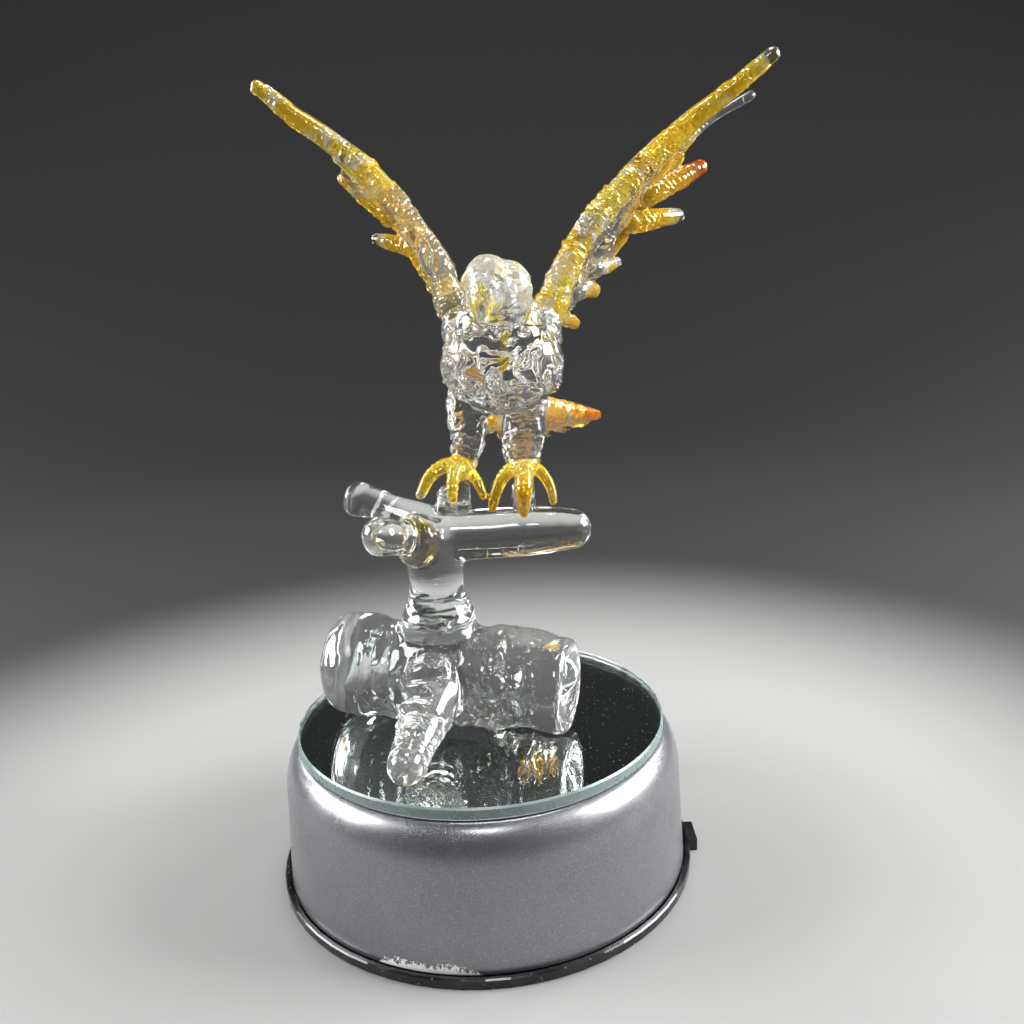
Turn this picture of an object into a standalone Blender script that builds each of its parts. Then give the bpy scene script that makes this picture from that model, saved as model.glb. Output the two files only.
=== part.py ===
"""Lampworked glass eagle and its glass perch, on a round turntable with a mirror top.

Metres, +Z up. The origin is the middle of the tray's underside, the eagle faces -Y, and the
turntable spins about the Z axis.
"""
import math

import bmesh
import bpy
from mathutils import Matrix, Vector

# Tray, the black dish that stands on the table
TRAY_RADIUS = 0.0500
TRAY_FLOOR = 0.0014
LIP_HEIGHT = 0.0024
LIP_WIDTH = 0.0010
TRAY_CHAMFER = 0.0003

# Hub and spindle in the middle of the tray, which the drum turns on
HUB_RADIUS = 0.0090
SPINDLE_RADIUS = 0.0030
BORE_CLEARANCE = 0.0001
BOSS_RADIUS = 0.0060
BOSS_LENGTH = 0.0080
SPINDLE_END_GAP = 0.0006

# Power inlet block moulded on the tray's right side
INLET_REACH = 0.0016
INLET_WIDTH = 0.0078
INLET_HEIGHT = 0.0031
INLET_OFFSET = -0.0012
INLET_STANDOFF = 0.0009
SOCKET_WIDTH = 0.0036
SOCKET_HEIGHT = 0.0014
SOCKET_DEPTH = 0.0014

# Drum, the silver cup that covers the works
DRUM_HEIGHT = 0.0325
DRUM_WALL = 0.0020
DRUM_ROOF = 0.0024
DRUM_DRAFT = 0.0010
SHOULDER_ROUNDING = 0.0034
RIM_GAP = 0.0007
RUNNING_GAP = 0.0005

# Mirror, a loose glass disc on the drum
MIRROR_INSET = 0.0003
MIRROR_THICKNESS = 0.0030
MIRROR_CHAMFER = 0.0004

# Glass figure. Its points are given in parts of its own height, measured up from its lowest point.
FIGURE_HEIGHT = 0.1475
FIGURE_PARTS = 147.5
GLASS_GRAIN = 0.7
GLASS_SMOOTHING = 0.5
GLASS_SMOOTH_PASSES = 4
GLASS_FACES_KEPT = 0.055

# Gap kept between pieces that touch
TOUCH_GAP = 0.0003

# How finely round shapes are cut. Lumps of glass have segments round them and rings up them.
ROUND_SIDES = 60
ARC_STEPS = 4
LOG_SIDES = 28
POST_SIDES = 24
RING_SIDES = 20
ROD_SIDES = 12
ROD_STEP = 1.2
ROD_CAP_ANGLES = (60.0, 30.0)
LUMP_SEGMENTS = 20
LUMP_RINGS = 12
SMOOTH_ANGLE = math.radians(35.0)

# Heights and radii that follow from the sizes above
DRUM_RADIUS = TRAY_RADIUS - LIP_WIDTH - RIM_GAP
DRUM_BOTTOM = TRAY_FLOOR + RUNNING_GAP
DRUM_TOP = DRUM_BOTTOM + DRUM_HEIGHT
ROOF_UNDERSIDE = DRUM_TOP - DRUM_ROOF
BOSS_BOTTOM = ROOF_UNDERSIDE - BOSS_LENGTH
MIRROR_BOTTOM = DRUM_TOP + TOUCH_GAP
MIRROR_TOP = MIRROR_BOTTOM + MIRROR_THICKNESS
MIRROR_RADIUS = DRUM_RADIUS - DRUM_DRAFT - SHOULDER_ROUNDING - MIRROR_INSET
FIGURE_BASE = MIRROR_TOP + TOUCH_GAP
PART = FIGURE_HEIGHT / FIGURE_PARTS

# Perch: a short log that lies on the mirror, a post on it, and a crossbar of three arms on the post.
# Every glass row is x, y, height and radius, in parts.
LOG_LEFT = (-34.0, 5.0, 12.45)
LOG_RIGHT = (23.5, -14.3, 11.15)
LOG_PROFILE = (
    (0.0, 0.0), (0.0, 9.0), (0.7, 11.0), (2.4, 12.2), (8.0, 12.3), (16.0, 11.4), (24.0, 11.6),
    (32.0, 11.8), (41.0, 11.4), (46.0, 11.0), (50.0, 10.4), (53.0, 10.6), (55.6, 11.0), (57.4, 10.9),
    (58.4, 9.9), (58.0, 8.4), (56.4, 6.6), (55.8, 0.0),
)
LOG_SWELLING = ((7.0, -8.4, 13.6), (17.0, 9.5, 10.7))
POST_FOOT = (-8.3, -4.0, 18.0)
POST_PROFILE = (
    (0.0, 0.0), (0.0, 10.5), (3.0, 9.2), (4.4, 8.4), (5.0, 8.9), (6.4, 8.9), (6.9, 8.1), (7.5, 8.6),
    (8.9, 8.6), (10.4, 7.6), (13.5, 6.5), (18.0, 6.2), (22.0, 6.5), (28.0, 7.0), (31.5, 5.2), (33.0, 0.0),
)
RIGHT_ARM = ((-9.0, -3.7, 45.3, 5.8), (4.0, -3.7, 45.4, 5.9), (16.0, -3.7, 45.6, 5.6), (23.0, -3.7, 45.6, 4.7))
BACK_ARM = (
    (-8.0, -2.5, 46.6, 5.4), (-13.2, 1.6, 48.4, 4.3), (-17.8, 4.6, 49.7, 3.5), (-22.4, 7.6, 50.8, 3.8),
    (-27.4, 10.0, 51.6, 4.6),
)
BLUNT_CAP = 0.45
KNOB_NECK = (
    (-8.5, -4.0, 45.3, 5.0), (-12.0, -8.6, 46.3, 4.4), (-15.2, -12.4, 47.8, 4.0), (-18.6, -15.8, 49.2, 4.4),
)
KNOB_RING = ((-11.0, -7.8, 45.9, 6.1), (-12.9, -9.8, 46.4, 6.1))
FRONT_STUB = (
    (-8.5, -9.0, 15.5, 7.6), (-9.2, -14.0, 12.8, 7.3), (-10.7, -20.0, 9.8, 6.0), (-12.6, -26.0, 6.9, 5.0),
    (-14.2, -31.6, 4.9, 4.5), (-14.7, -33.8, 4.4, 4.3),
)

# Eagle: body, neck, head, legs and tail
BODY = ((9.0, -5.0, 84.4), (13.1, 10.5, 11.4))
BODY_LUMPS = (
    ((10.0, 4.0, 84.0), (12.4, 12.0, 10.4)),
    ((1.2, 0.5, 90.3), (5.2, 7.0, 5.4)),
    ((17.4, 0.5, 89.6), (5.2, 7.0, 5.4)),
    ((9.6, -7.0, 92.8), (9.8, 7.4, 5.4)),
    ((14.4, -2.0, 80.2), (7.4, 8.0, 5.6)),
)
RUMP = ((11.0, 8.0, 81.0, 9.6), (12.0, 16.0, 76.4, 7.2), (13.4, 22.0, 72.4, 5.2), (14.4, 27.0, 69.4, 3.8))
NECK = ((9.4, -6.0, 92.0, 7.6), (9.6, -10.5, 96.4, 6.4), (9.4, -13.4, 99.6, 6.0))
CROWN = ((9.6, -13.5, 99.8), (6.2, 6.2, 5.9))
FACE = ((7.0, -17.6, 101.9), (4.7, 4.8, 4.7))
CHEEKS = (
    ((12.2, -16.6, 101.4), (2.3, 2.2, 2.3)),
    ((3.4, -16.4, 101.6), (2.0, 2.1, 2.1)),
    ((12.3, -12.6, 96.2), (3.2, 3.2, 3.0)),
)
BEAK = ((6.7, -19.6, 101.4, 3.5), (6.2, -21.8, 99.4, 2.8), (5.6, -22.7, 96.8, 1.8), (5.3, -22.2, 94.6, 1.1))
LEGS = (
    ((1.4, 1.0, 79.0, 4.6), (0.6, 1.6, 74.5, 4.3), (0.7, 0.0, 68.6, 4.1), (-0.2, -2.0, 62.2, 3.0)),
    ((14.4, 1.0, 79.0, 5.0), (14.0, 1.6, 74.0, 4.8), (13.1, 0.0, 68.1, 5.3), (12.8, -1.8, 64.0, 4.5),
     (13.0, -3.0, 61.2, 3.5)),
)
FEET = (
    ((-1.4, -3.0, 61.2), (3.0, 3.0, 2.6)),
    ((12.8, -4.0, 60.2), (3.0, 3.0, 2.6)),
)
TOES = (
    ((-1.4, -3.0, 61.2, 1.9), (-4.6, -4.8, 61.8, 1.6), (-7.8, -7.0, 60.1, 1.5), (-10.1, -9.0, 56.4, 1.2)),
    ((-1.4, -3.0, 61.2, 1.9), (-2.4, -7.4, 60.6, 1.6), (-3.0, -9.8, 58.0, 1.4), (-3.0, -10.0, 55.4, 1.1)),
    ((-1.4, -3.0, 61.2, 1.9), (0.8, -5.4, 60.0, 1.4), (2.6, -7.6, 58.0, 1.2), (3.6, -9.0, 55.6, 1.0)),
    ((-1.4, -3.0, 61.2, 1.9), (-1.8, 1.6, 60.6, 1.6), (-2.2, 4.6, 57.6, 1.2)),
    ((12.8, -4.0, 60.2, 1.9), (9.6, -6.2, 60.2, 1.6), (7.0, -8.2, 57.4, 1.4), (5.5, -9.4, 52.8, 1.1)),
    ((12.8, -4.0, 60.2, 2.1), (12.7, -9.0, 59.6, 2.0), (12.5, -11.4, 56.6, 1.9), (12.3, -11.0, 51.8, 1.2)),
    ((12.8, -4.0, 60.2, 1.9), (16.0, -6.0, 60.0, 1.5), (18.2, -7.8, 57.2, 1.2), (18.9, -9.0, 53.6, 1.0)),
    ((12.8, -4.0, 60.2, 1.9), (13.2, 1.0, 59.8, 1.6), (13.6, 4.2, 56.6, 1.2)),
)
FOOT_STUBS = (
    ((-2.0, -3.6, 48.0, 3.2), (-1.6, -3.2, 60.0, 2.9)),
    ((12.5, -3.8, 48.0, 2.9), (12.8, -3.6, 59.0, 2.7)),
    ((-5.6, -3.8, 50.6, 2.9), (-5.0, -3.4, 55.6, 2.4)),
)
TAIL_ROOT = (14.0, 23.5, 70.6)
TAIL_TIPS = (
    (3.8, 38.0, 62.2), (8.0, 42.5, 59.8), (13.6, 45.2, 58.8), (19.6, 45.8, 59.0), (25.2, 44.8, 60.2),
    (30.0, 43.4, 61.8), (33.6, 44.6, 63.2),
)
TAIL_RADII = (2.6, 2.7, 2.5, 1.5)
TAIL_SAG = 1.6

# Wings: a thick leading rod, a trailing line behind it, strands between the two, and loose feathers.
# A strand's row is its share of the way back, of the wing's length, and of the trailing line's radius.
LEFT_LEADING = (
    (2.2, 2.0, 89.0, 4.4), (-1.6, 3.0, 97.0, 3.5), (-3.3, 3.4, 104.0, 3.0), (-6.4, 4.0, 109.4, 2.9),
    (-10.5, 5.0, 115.6, 2.8), (-14.4, 6.0, 120.7, 2.7), (-19.2, 7.0, 126.3, 2.6), (-23.4, 7.5, 129.7, 2.5),
    (-28.4, 8.0, 133.6, 2.3), (-33.5, 9.0, 137.2, 2.1), (-38.4, 10.0, 141.4, 1.8), (-40.8, 10.0, 143.5, 1.6),
)
LEFT_TRAILING = (
    (1.0, 8.0, 90.0, 3.0), (-4.3, 12.0, 99.0, 2.2), (-8.3, 14.0, 106.0, 2.0), (-12.0, 15.0, 113.4, 1.9),
    (-16.9, 15.0, 118.0, 1.9), (-21.9, 14.0, 123.2, 1.8), (-26.0, 12.0, 130.0, 1.6), (-29.4, 10.0, 133.6, 1.4),
)
RIGHT_LEADING = (
    (16.4, 2.0, 88.6, 4.6), (21.0, 2.8, 96.6, 3.6), (22.4, 3.0, 100.4, 3.1), (26.3, 4.0, 107.2, 3.0),
    (31.1, 5.0, 113.4, 3.0), (35.8, 6.0, 118.0, 3.0), (43.4, 7.0, 124.8, 2.8), (51.8, 8.0, 132.0, 2.4),
    (57.9, 9.0, 136.3, 2.1), (62.8, 9.4, 139.7, 2.0), (67.0, 9.8, 142.9, 1.8), (70.0, 10.0, 145.3, 1.7),
)
RIGHT_TRAILING = (
    (17.4, 8.0, 88.6, 3.2), (24.2, 13.0, 95.0, 2.2), (30.0, 16.0, 100.8, 2.0), (36.1, 17.0, 107.5, 2.0),
    (42.9, 17.0, 117.0, 2.0), (50.6, 16.0, 126.0, 1.9), (53.4, 14.0, 131.0, 1.7), (57.2, 11.0, 135.6, 1.5),
)
WING_STRANDS = ((0.34, 0.96, 1.05), (0.68, 0.88, 0.95), (1.0, 0.80, 1.0))
LEFT_FEATHERS = (
    ((-14.6, 13.0, 115.6, 2.2), (-19.4, 14.6, 119.6, 2.1), (-24.6, 15.4, 124.2, 1.4)),
    ((-9.0, 13.0, 108.4, 2.4), (-13.4, 15.6, 109.6, 2.0), (-18.6, 18.0, 111.0, 1.4)),
    ((-3.6, 12.0, 98.6, 2.2), (-6.0, 15.0, 100.0, 1.8)),
)
RIGHT_FEATHERS = (
    ((50.6, 12.0, 128.2, 1.8), (55.4, 13.5, 131.8, 1.3), (60.2, 15.0, 134.7, 1.0), (67.4, 18.0, 138.3, 1.2)),
    ((43.8, 14.0, 117.8, 2.6), (51.2, 17.5, 121.2, 2.4), (56.4, 20.0, 123.6, 1.8)),
    ((40.0, 15.5, 112.0, 2.4), (46.4, 19.0, 112.8, 2.3), (51.6, 22.0, 113.2, 1.8)),
    ((31.6, 14.0, 102.4, 2.1), (34.6, 17.5, 102.8, 1.9), (37.0, 20.0, 103.4, 1.3)),
    ((26.0, 11.0, 97.0, 2.2), (29.2, 15.0, 97.8, 2.1), (31.0, 18.0, 97.0, 1.8)),
    ((21.8, 10.0, 92.4, 2.0), (24.6, 13.5, 91.0, 1.7), (26.6, 16.0, 89.6, 1.2)),
)


def clear_scene():
    for thing in list(bpy.data.objects):
        bpy.data.objects.remove(thing, do_unlink=True)


def plain_material(name, color, roughness, metallic=0.0, transmission=0.0):
    material = bpy.data.materials.new(name)
    material.use_nodes = True
    shader = material.node_tree.nodes["Principled BSDF"]
    shader.inputs["Base Color"].default_value = (*color, 1.0)
    shader.inputs["Roughness"].default_value = roughness
    shader.inputs["Metallic"].default_value = metallic
    shader.inputs["Transmission Weight"].default_value = transmission
    return material


def add_piece(name, mesh_data, material, parent=None):
    """Turn a bmesh into a named object with one material."""
    bmesh.ops.recalc_face_normals(mesh_data, faces=mesh_data.faces)
    mesh = bpy.data.meshes.new(name)
    mesh_data.to_mesh(mesh)
    mesh_data.free()
    mesh.materials.append(material)
    mesh.shade_smooth()
    mesh.set_sharp_from_angle(angle=SMOOTH_ANGLE)
    piece = bpy.data.objects.new(name, mesh)
    bpy.context.scene.collection.objects.link(piece)
    piece.parent = parent
    return piece


def join_rings(mesh_data, rings):
    """Skin a row of vertex rings. A ring of one vertex is a pole."""
    for lower, upper in zip(rings, rings[1:]):
        count = max(len(lower), len(upper))
        for i in range(count):
            j = (i + 1) % count
            corners = [lower[i % len(lower)], lower[j % len(lower)], upper[j % len(upper)], upper[i % len(upper)]]
            mesh_data.faces.new(list(dict.fromkeys(corners)))


def turned(mesh_data, profile, sides, place=Matrix()):
    """Turn a profile of (height, radius) about the Z axis, then move it by the matrix."""
    rings = []
    for height, radius in profile:
        if radius == 0.0:
            rings.append([mesh_data.verts.new(place @ Vector((0.0, 0.0, height)))])
            continue
        ring = []
        for i in range(sides):
            angle = math.tau * i / sides
            point = Vector((radius * math.cos(angle), radius * math.sin(angle), height))
            ring.append(mesh_data.verts.new(place @ point))
        rings.append(ring)
    join_rings(mesh_data, rings)


def arc(center_height, center_radius, rounding, start, end):
    """Points of (height, radius) along a quarter round, angles in degrees up from the horizontal."""
    points = []
    for i in range(ARC_STEPS + 1):
        angle = math.radians(start + (end - start) * i / ARC_STEPS)
        points.append((center_height + rounding * math.sin(angle), center_radius + rounding * math.cos(angle)))
    return points


def box_piece(name, low, high, material):
    """A helper solid between two corners, left out of the model itself."""
    mesh_data = bmesh.new()
    center = (Vector(low) + Vector(high)) / 2.0
    size = Vector(high) - Vector(low)
    bmesh.ops.create_cube(mesh_data, size=1.0, matrix=Matrix.Translation(center) @ Matrix.Diagonal((*size, 1.0)))
    helper = add_piece(name, mesh_data, material)
    helper.hide_render = True
    helper.display_type = "WIRE"
    return helper


def combine(piece, helper, operation):
    change = piece.modifiers.new(helper.name, "BOOLEAN")
    change.operation = operation
    change.object = helper


def add_tray(material):
    """Black dish with a lip, the hub and spindle, and the inlet block with its socket."""
    inside = TRAY_RADIUS - LIP_WIDTH
    hub_top = BOSS_BOTTOM - TOUCH_GAP
    spindle_top = ROOF_UNDERSIDE - SPINDLE_END_GAP
    profile = [
        (0.0, 0.0),
        (0.0, TRAY_RADIUS - TRAY_CHAMFER),
        (TRAY_CHAMFER, TRAY_RADIUS),
        (LIP_HEIGHT - TRAY_CHAMFER, TRAY_RADIUS),
        (LIP_HEIGHT, TRAY_RADIUS - TRAY_CHAMFER),
        (LIP_HEIGHT, inside),
        (TRAY_FLOOR, inside),
        (TRAY_FLOOR, HUB_RADIUS),
        (hub_top, HUB_RADIUS),
        (hub_top, SPINDLE_RADIUS),
        (spindle_top, SPINDLE_RADIUS),
        (spindle_top, 0.0),
    ]
    mesh_data = bmesh.new()
    turned(mesh_data, profile, ROUND_SIDES)
    tray = add_piece("base_tray", mesh_data, material)

    inner = DRUM_RADIUS + INLET_STANDOFF
    outer = TRAY_RADIUS + INLET_REACH
    side = INLET_WIDTH / 2.0
    block = box_piece(
        "inlet_block",
        (inner, INLET_OFFSET - side, 0.0),
        (outer, INLET_OFFSET + side, INLET_HEIGHT),
        material,
    )
    combine(tray, block, "UNION")

    half_width = SOCKET_WIDTH / 2.0
    socket_low = (INLET_HEIGHT - SOCKET_HEIGHT) / 2.0
    socket = box_piece(
        "inlet_socket",
        (outer - SOCKET_DEPTH, INLET_OFFSET - half_width, socket_low),
        (outer + SOCKET_DEPTH, INLET_OFFSET + half_width, socket_low + SOCKET_HEIGHT),
        material,
    )
    combine(tray, socket, "DIFFERENCE")
    return tray


def add_drum(material, axis):
    """Silver cup, open below, with a rounded shoulder and a bored boss under its roof."""
    top_radius = DRUM_RADIUS - DRUM_DRAFT
    bore = SPINDLE_RADIUS + BORE_CLEARANCE
    profile = [(DRUM_TOP, 0.0)]
    profile += arc(DRUM_TOP - SHOULDER_ROUNDING, top_radius - SHOULDER_ROUNDING, SHOULDER_ROUNDING, 90.0, 0.0)
    profile += [
        (DRUM_BOTTOM, DRUM_RADIUS),
        (DRUM_BOTTOM, DRUM_RADIUS - DRUM_WALL),
        (ROOF_UNDERSIDE, top_radius - DRUM_WALL),
        (ROOF_UNDERSIDE, BOSS_RADIUS),
        (BOSS_BOTTOM, BOSS_RADIUS),
        (BOSS_BOTTOM, bore),
        (ROOF_UNDERSIDE, bore),
        (ROOF_UNDERSIDE, 0.0),
    ]
    mesh_data = bmesh.new()
    turned(mesh_data, profile, ROUND_SIDES)
    return add_piece("turntable_drum", mesh_data, material, axis)


def add_mirror(material, axis):
    """Glass disc with ground edges."""
    edge = MIRROR_RADIUS - MIRROR_CHAMFER
    profile = [
        (MIRROR_TOP, 0.0),
        (MIRROR_TOP, edge),
        (MIRROR_TOP - MIRROR_CHAMFER, MIRROR_RADIUS),
        (MIRROR_BOTTOM + MIRROR_CHAMFER, MIRROR_RADIUS),
        (MIRROR_BOTTOM, edge),
        (MIRROR_BOTTOM, 0.0),
    ]
    mesh_data = bmesh.new()
    turned(mesh_data, profile, ROUND_SIDES)
    return add_piece("mirror_plate", mesh_data, material, axis)


def between(a, b, share):
    return tuple(p + (q - p) * share for p, q in zip(a, b))


def smooth_path(rows):
    """Read a smooth curve through rows of x, y, height and radius, a step of about ROD_STEP apart."""
    path = []
    last = len(rows) - 1
    for i in range(last):
        before = Vector(rows[max(i - 1, 0)])
        a = Vector(rows[i])
        b = Vector(rows[i + 1])
        after = Vector(rows[min(i + 2, last)])
        slope = b - before
        bend = 2.0 * before - 5.0 * a + 4.0 * b - after
        twist = 3.0 * a - before - 3.0 * b + after
        steps = max(2, round((b - a).xyz.length / ROD_STEP))
        for step in range(steps):
            t = step / steps
            path.append(a + 0.5 * (slope * t + bend * t ** 2 + twist * t ** 3))
    path.append(Vector(rows[last]))
    return path


def row_at(path, share):
    """The row a share of the way along a path."""
    place = share * (len(path) - 1)
    i = min(int(place), len(path) - 2)
    return path[i].lerp(path[i + 1], place - i)


def cap_stations(center, outward, radius, cap):
    """Rings of a rod's rounded end, from its tip inwards, as center and radius."""
    stations = []
    for degrees in ROD_CAP_ANGLES:
        angle = math.radians(degrees)
        stations.append((center + outward * radius * cap * math.sin(angle), radius * math.cos(angle)))
    return stations


def rod(mesh_data, path, cap=1.0):
    """Sweep a round rod along a path of x, y, height and radius, with caps cap times as long as round ones."""
    centers = [point.xyz for point in path]
    tangents = []
    for i in range(len(path)):
        tangents.append((centers[min(i + 1, len(path) - 1)] - centers[max(i - 1, 0)]).normalized())
    side = tangents[0].orthogonal().normalized()
    start, end = path[0].w, path[-1].w
    stations = []
    for center, radius in cap_stations(centers[0], -tangents[0], start, cap):
        stations.append((center, tangents[0], radius))
    for center, tangent, point in zip(centers, tangents, path):
        stations.append((center, tangent, point.w))
    for center, radius in reversed(cap_stations(centers[-1], tangents[-1], end, cap)):
        stations.append((center, tangents[-1], radius))
    rings = [[mesh_data.verts.new(centers[0] - tangents[0] * start * cap)]]
    for center, tangent, radius in stations:
        side = (side - tangent * side.dot(tangent)).normalized()
        across = tangent.cross(side)
        ring = []
        for i in range(ROD_SIDES):
            angle = math.tau * i / ROD_SIDES
            ring.append(mesh_data.verts.new(center + (side * math.cos(angle) + across * math.sin(angle)) * radius))
        rings.append(ring)
    rings.append([mesh_data.verts.new(centers[-1] + tangents[-1] * end * cap)])
    join_rings(mesh_data, rings)


def lump(mesh_data, center, radii):
    """Add an egg of glass."""
    place = Matrix.Translation(Vector(center)) @ Matrix.Diagonal((*radii, 1.0))
    bmesh.ops.create_uvsphere(
        mesh_data,
        u_segments=LUMP_SEGMENTS,
        v_segments=LUMP_RINGS,
        radius=1.0,
        matrix=place,
    )


def along(start, end):
    """Matrix that takes the Z axis to the line from start to end."""
    direction = Vector(end) - Vector(start)
    return Matrix.Translation(Vector(start)) @ direction.to_track_quat("Z", "Y").to_matrix().to_4x4()


def add_perch_glass(mesh_data):
    turned(mesh_data, LOG_PROFILE, LOG_SIDES, along(LOG_LEFT, LOG_RIGHT))
    turned(mesh_data, POST_PROFILE, POST_SIDES, Matrix.Translation(Vector(POST_FOOT)))
    lump(mesh_data, *LOG_SWELLING)
    for rows in (RIGHT_ARM, KNOB_NECK, FRONT_STUB, *FOOT_STUBS):
        rod(mesh_data, smooth_path(rows))
    rod(mesh_data, smooth_path(BACK_ARM), BLUNT_CAP)
    (*ring_start, ring_radius), (*ring_end, _) = KNOB_RING
    width = (Vector(ring_end) - Vector(ring_start)).length
    ring_profile = ((0.0, 0.0), (0.0, ring_radius), (width, ring_radius), (width, 0.0))
    turned(mesh_data, ring_profile, RING_SIDES, along(ring_start, ring_end))


def add_wing_glass(mesh_data, leading, trailing, feathers):
    """One wing: the leading rod, strands fused side by side behind it, and loose feather tips."""
    leading_path = smooth_path(leading)
    trailing_path = smooth_path(trailing)
    rod(mesh_data, leading_path)
    leading_root = leading_path[0].xyz
    reach = (trailing_path[-1].xyz - leading_root).length / (leading_path[-1].xyz - leading_root).length
    steps = len(trailing_path)
    for share, length, thickness in WING_STRANDS:
        strand = []
        for i in range(steps):
            t = length * i / (steps - 1)
            front = row_at(leading_path, t * reach)
            back = row_at(trailing_path, t)
            row = front.lerp(back, share)
            row.w = back.w * thickness
            strand.append(row)
        rod(mesh_data, strand)
    for feather in feathers:
        rod(mesh_data, smooth_path(feather))


def add_eagle_glass(mesh_data):
    for center, radii in (BODY, *BODY_LUMPS, CROWN, FACE, *CHEEKS, *FEET):
        lump(mesh_data, center, radii)
    for rows in (RUMP, NECK, BEAK, *LEGS, *TOES):
        rod(mesh_data, smooth_path(rows))
    for tip in TAIL_TIPS:
        rows = []
        for i, radius in enumerate(TAIL_RADII):
            share = i / (len(TAIL_RADII) - 1)
            x, y, height = between(TAIL_ROOT, tip, share)
            sag = TAIL_SAG * share * (1.0 - share)
            rows.append((x, y, height - sag, radius))
        rod(mesh_data, smooth_path(rows))
    add_wing_glass(mesh_data, LEFT_LEADING, LEFT_TRAILING, LEFT_FEATHERS)
    add_wing_glass(mesh_data, RIGHT_LEADING, RIGHT_TRAILING, RIGHT_FEATHERS)


def add_figure(material, axis):
    """Eagle and perch, melted into one piece of glass and thinned to few faces."""
    mesh_data = bmesh.new()
    add_perch_glass(mesh_data)
    add_eagle_glass(mesh_data)
    mesh_data.transform(Matrix.Translation((0.0, 0.0, FIGURE_BASE)) @ Matrix.Scale(PART, 4))
    figure = add_piece("glass_eagle", mesh_data, material, axis)

    melt = figure.modifiers.new("melt", "REMESH")
    melt.mode = "VOXEL"
    melt.voxel_size = GLASS_GRAIN * PART
    melt.use_smooth_shade = True

    soften = figure.modifiers.new("soften", "SMOOTH")
    soften.factor = GLASS_SMOOTHING
    soften.iterations = GLASS_SMOOTH_PASSES

    thin = figure.modifiers.new("thin", "DECIMATE")
    thin.ratio = GLASS_FACES_KEPT
    thin.use_collapse_triangulate = True
    return figure


def main():
    clear_scene()
    black_plastic = plain_material("black_plastic", (0.010, 0.010, 0.011), 0.22)
    silver_paint = plain_material("silver_paint", (0.52, 0.53, 0.55), 0.34, metallic=0.85)
    mirror_glass = plain_material("mirror_glass", (0.80, 0.84, 0.82), 0.03, metallic=1.0)
    clear_glass = plain_material("clear_glass", (1.0, 0.99, 0.94), 0.02, transmission=1.0)

    axis = bpy.data.objects.new("turntable_axis", None)
    bpy.context.scene.collection.objects.link(axis)
    add_tray(black_plastic)
    add_drum(silver_paint, axis)
    add_mirror(mirror_glass, axis)
    add_figure(clear_glass, axis)


main()
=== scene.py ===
"""Lampworked glass eagle on a mirror-topped turntable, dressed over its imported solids."""
import itertools
import math
from typing import NamedTuple

import bmesh
import bpy
import numpy as np
from bpy.props import FloatProperty, FloatVectorProperty, IntProperty, PointerProperty
from mathutils import Matrix, Vector


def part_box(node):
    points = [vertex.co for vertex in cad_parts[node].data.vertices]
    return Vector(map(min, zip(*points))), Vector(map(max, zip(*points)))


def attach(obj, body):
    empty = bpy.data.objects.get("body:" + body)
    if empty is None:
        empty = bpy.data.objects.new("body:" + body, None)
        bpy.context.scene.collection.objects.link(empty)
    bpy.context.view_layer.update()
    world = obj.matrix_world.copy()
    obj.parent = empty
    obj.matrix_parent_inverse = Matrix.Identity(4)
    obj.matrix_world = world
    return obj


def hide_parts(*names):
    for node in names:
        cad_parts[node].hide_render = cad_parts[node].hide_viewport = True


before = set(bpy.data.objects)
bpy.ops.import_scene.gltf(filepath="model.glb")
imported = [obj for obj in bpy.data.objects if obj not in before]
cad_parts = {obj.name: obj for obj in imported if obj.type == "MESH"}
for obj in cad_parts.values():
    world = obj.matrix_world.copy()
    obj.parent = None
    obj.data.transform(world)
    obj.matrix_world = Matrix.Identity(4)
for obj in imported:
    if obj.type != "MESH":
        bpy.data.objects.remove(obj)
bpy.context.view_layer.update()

bl_info = {
    "name": "Glass Eagle on a Mirror Turntable",
    "version": (1, 0, 0),
    "blender": (4, 5, 0),
    "location": "3D View > Sidebar > Glass Eagle",
    "description": "Builds the glass figure, its turntable and the studio round them",
    "category": "Object",
}

TURNING_BODY = "turntable"

# Places taken from the frame
MIRROR_LOW, MIRROR_HIGH = (Vector(corner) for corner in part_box("mirror_plate"))
DRUM_LOW, DRUM_HIGH = (Vector(corner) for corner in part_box("turntable_drum"))
MIRROR_RADIUS = MIRROR_HIGH.x
DRUM_RADIUS = DRUM_HIGH.x
TOUCH_GAP = 0.0003
FIGURE_BASE = MIRROR_HIGH.z + TOUCH_GAP

# The figure's points are in parts, a millimetre each, measured up from its lowest point.
PART = 0.001

# Camera, fitted to the photograph's outline of the drum and tray
FOCAL_PIXELS = 1000.0
PICTURE_PIXELS = 1024.0
SENSOR = 36.0
PITCH = math.radians(14.919)
ROLL = math.radians(-2.635)
TARGET = Vector((0.009746, 0.0, 0.087139))
DISTANCE = 0.22954


class Skin(NamedTuple):
    """How a stretch of glass looks. Tints run from 0 to 1, depths and spacings are in parts."""

    amber: float = 0.0
    yellow: float = 0.0
    orange: float = 0.0
    frost: float = 0.0
    ridge: float = 0.0
    pitch: float = 1.3
    swirl: float = 0.0
    lump: float = 0.0
    thread: float = 0.0


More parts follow.
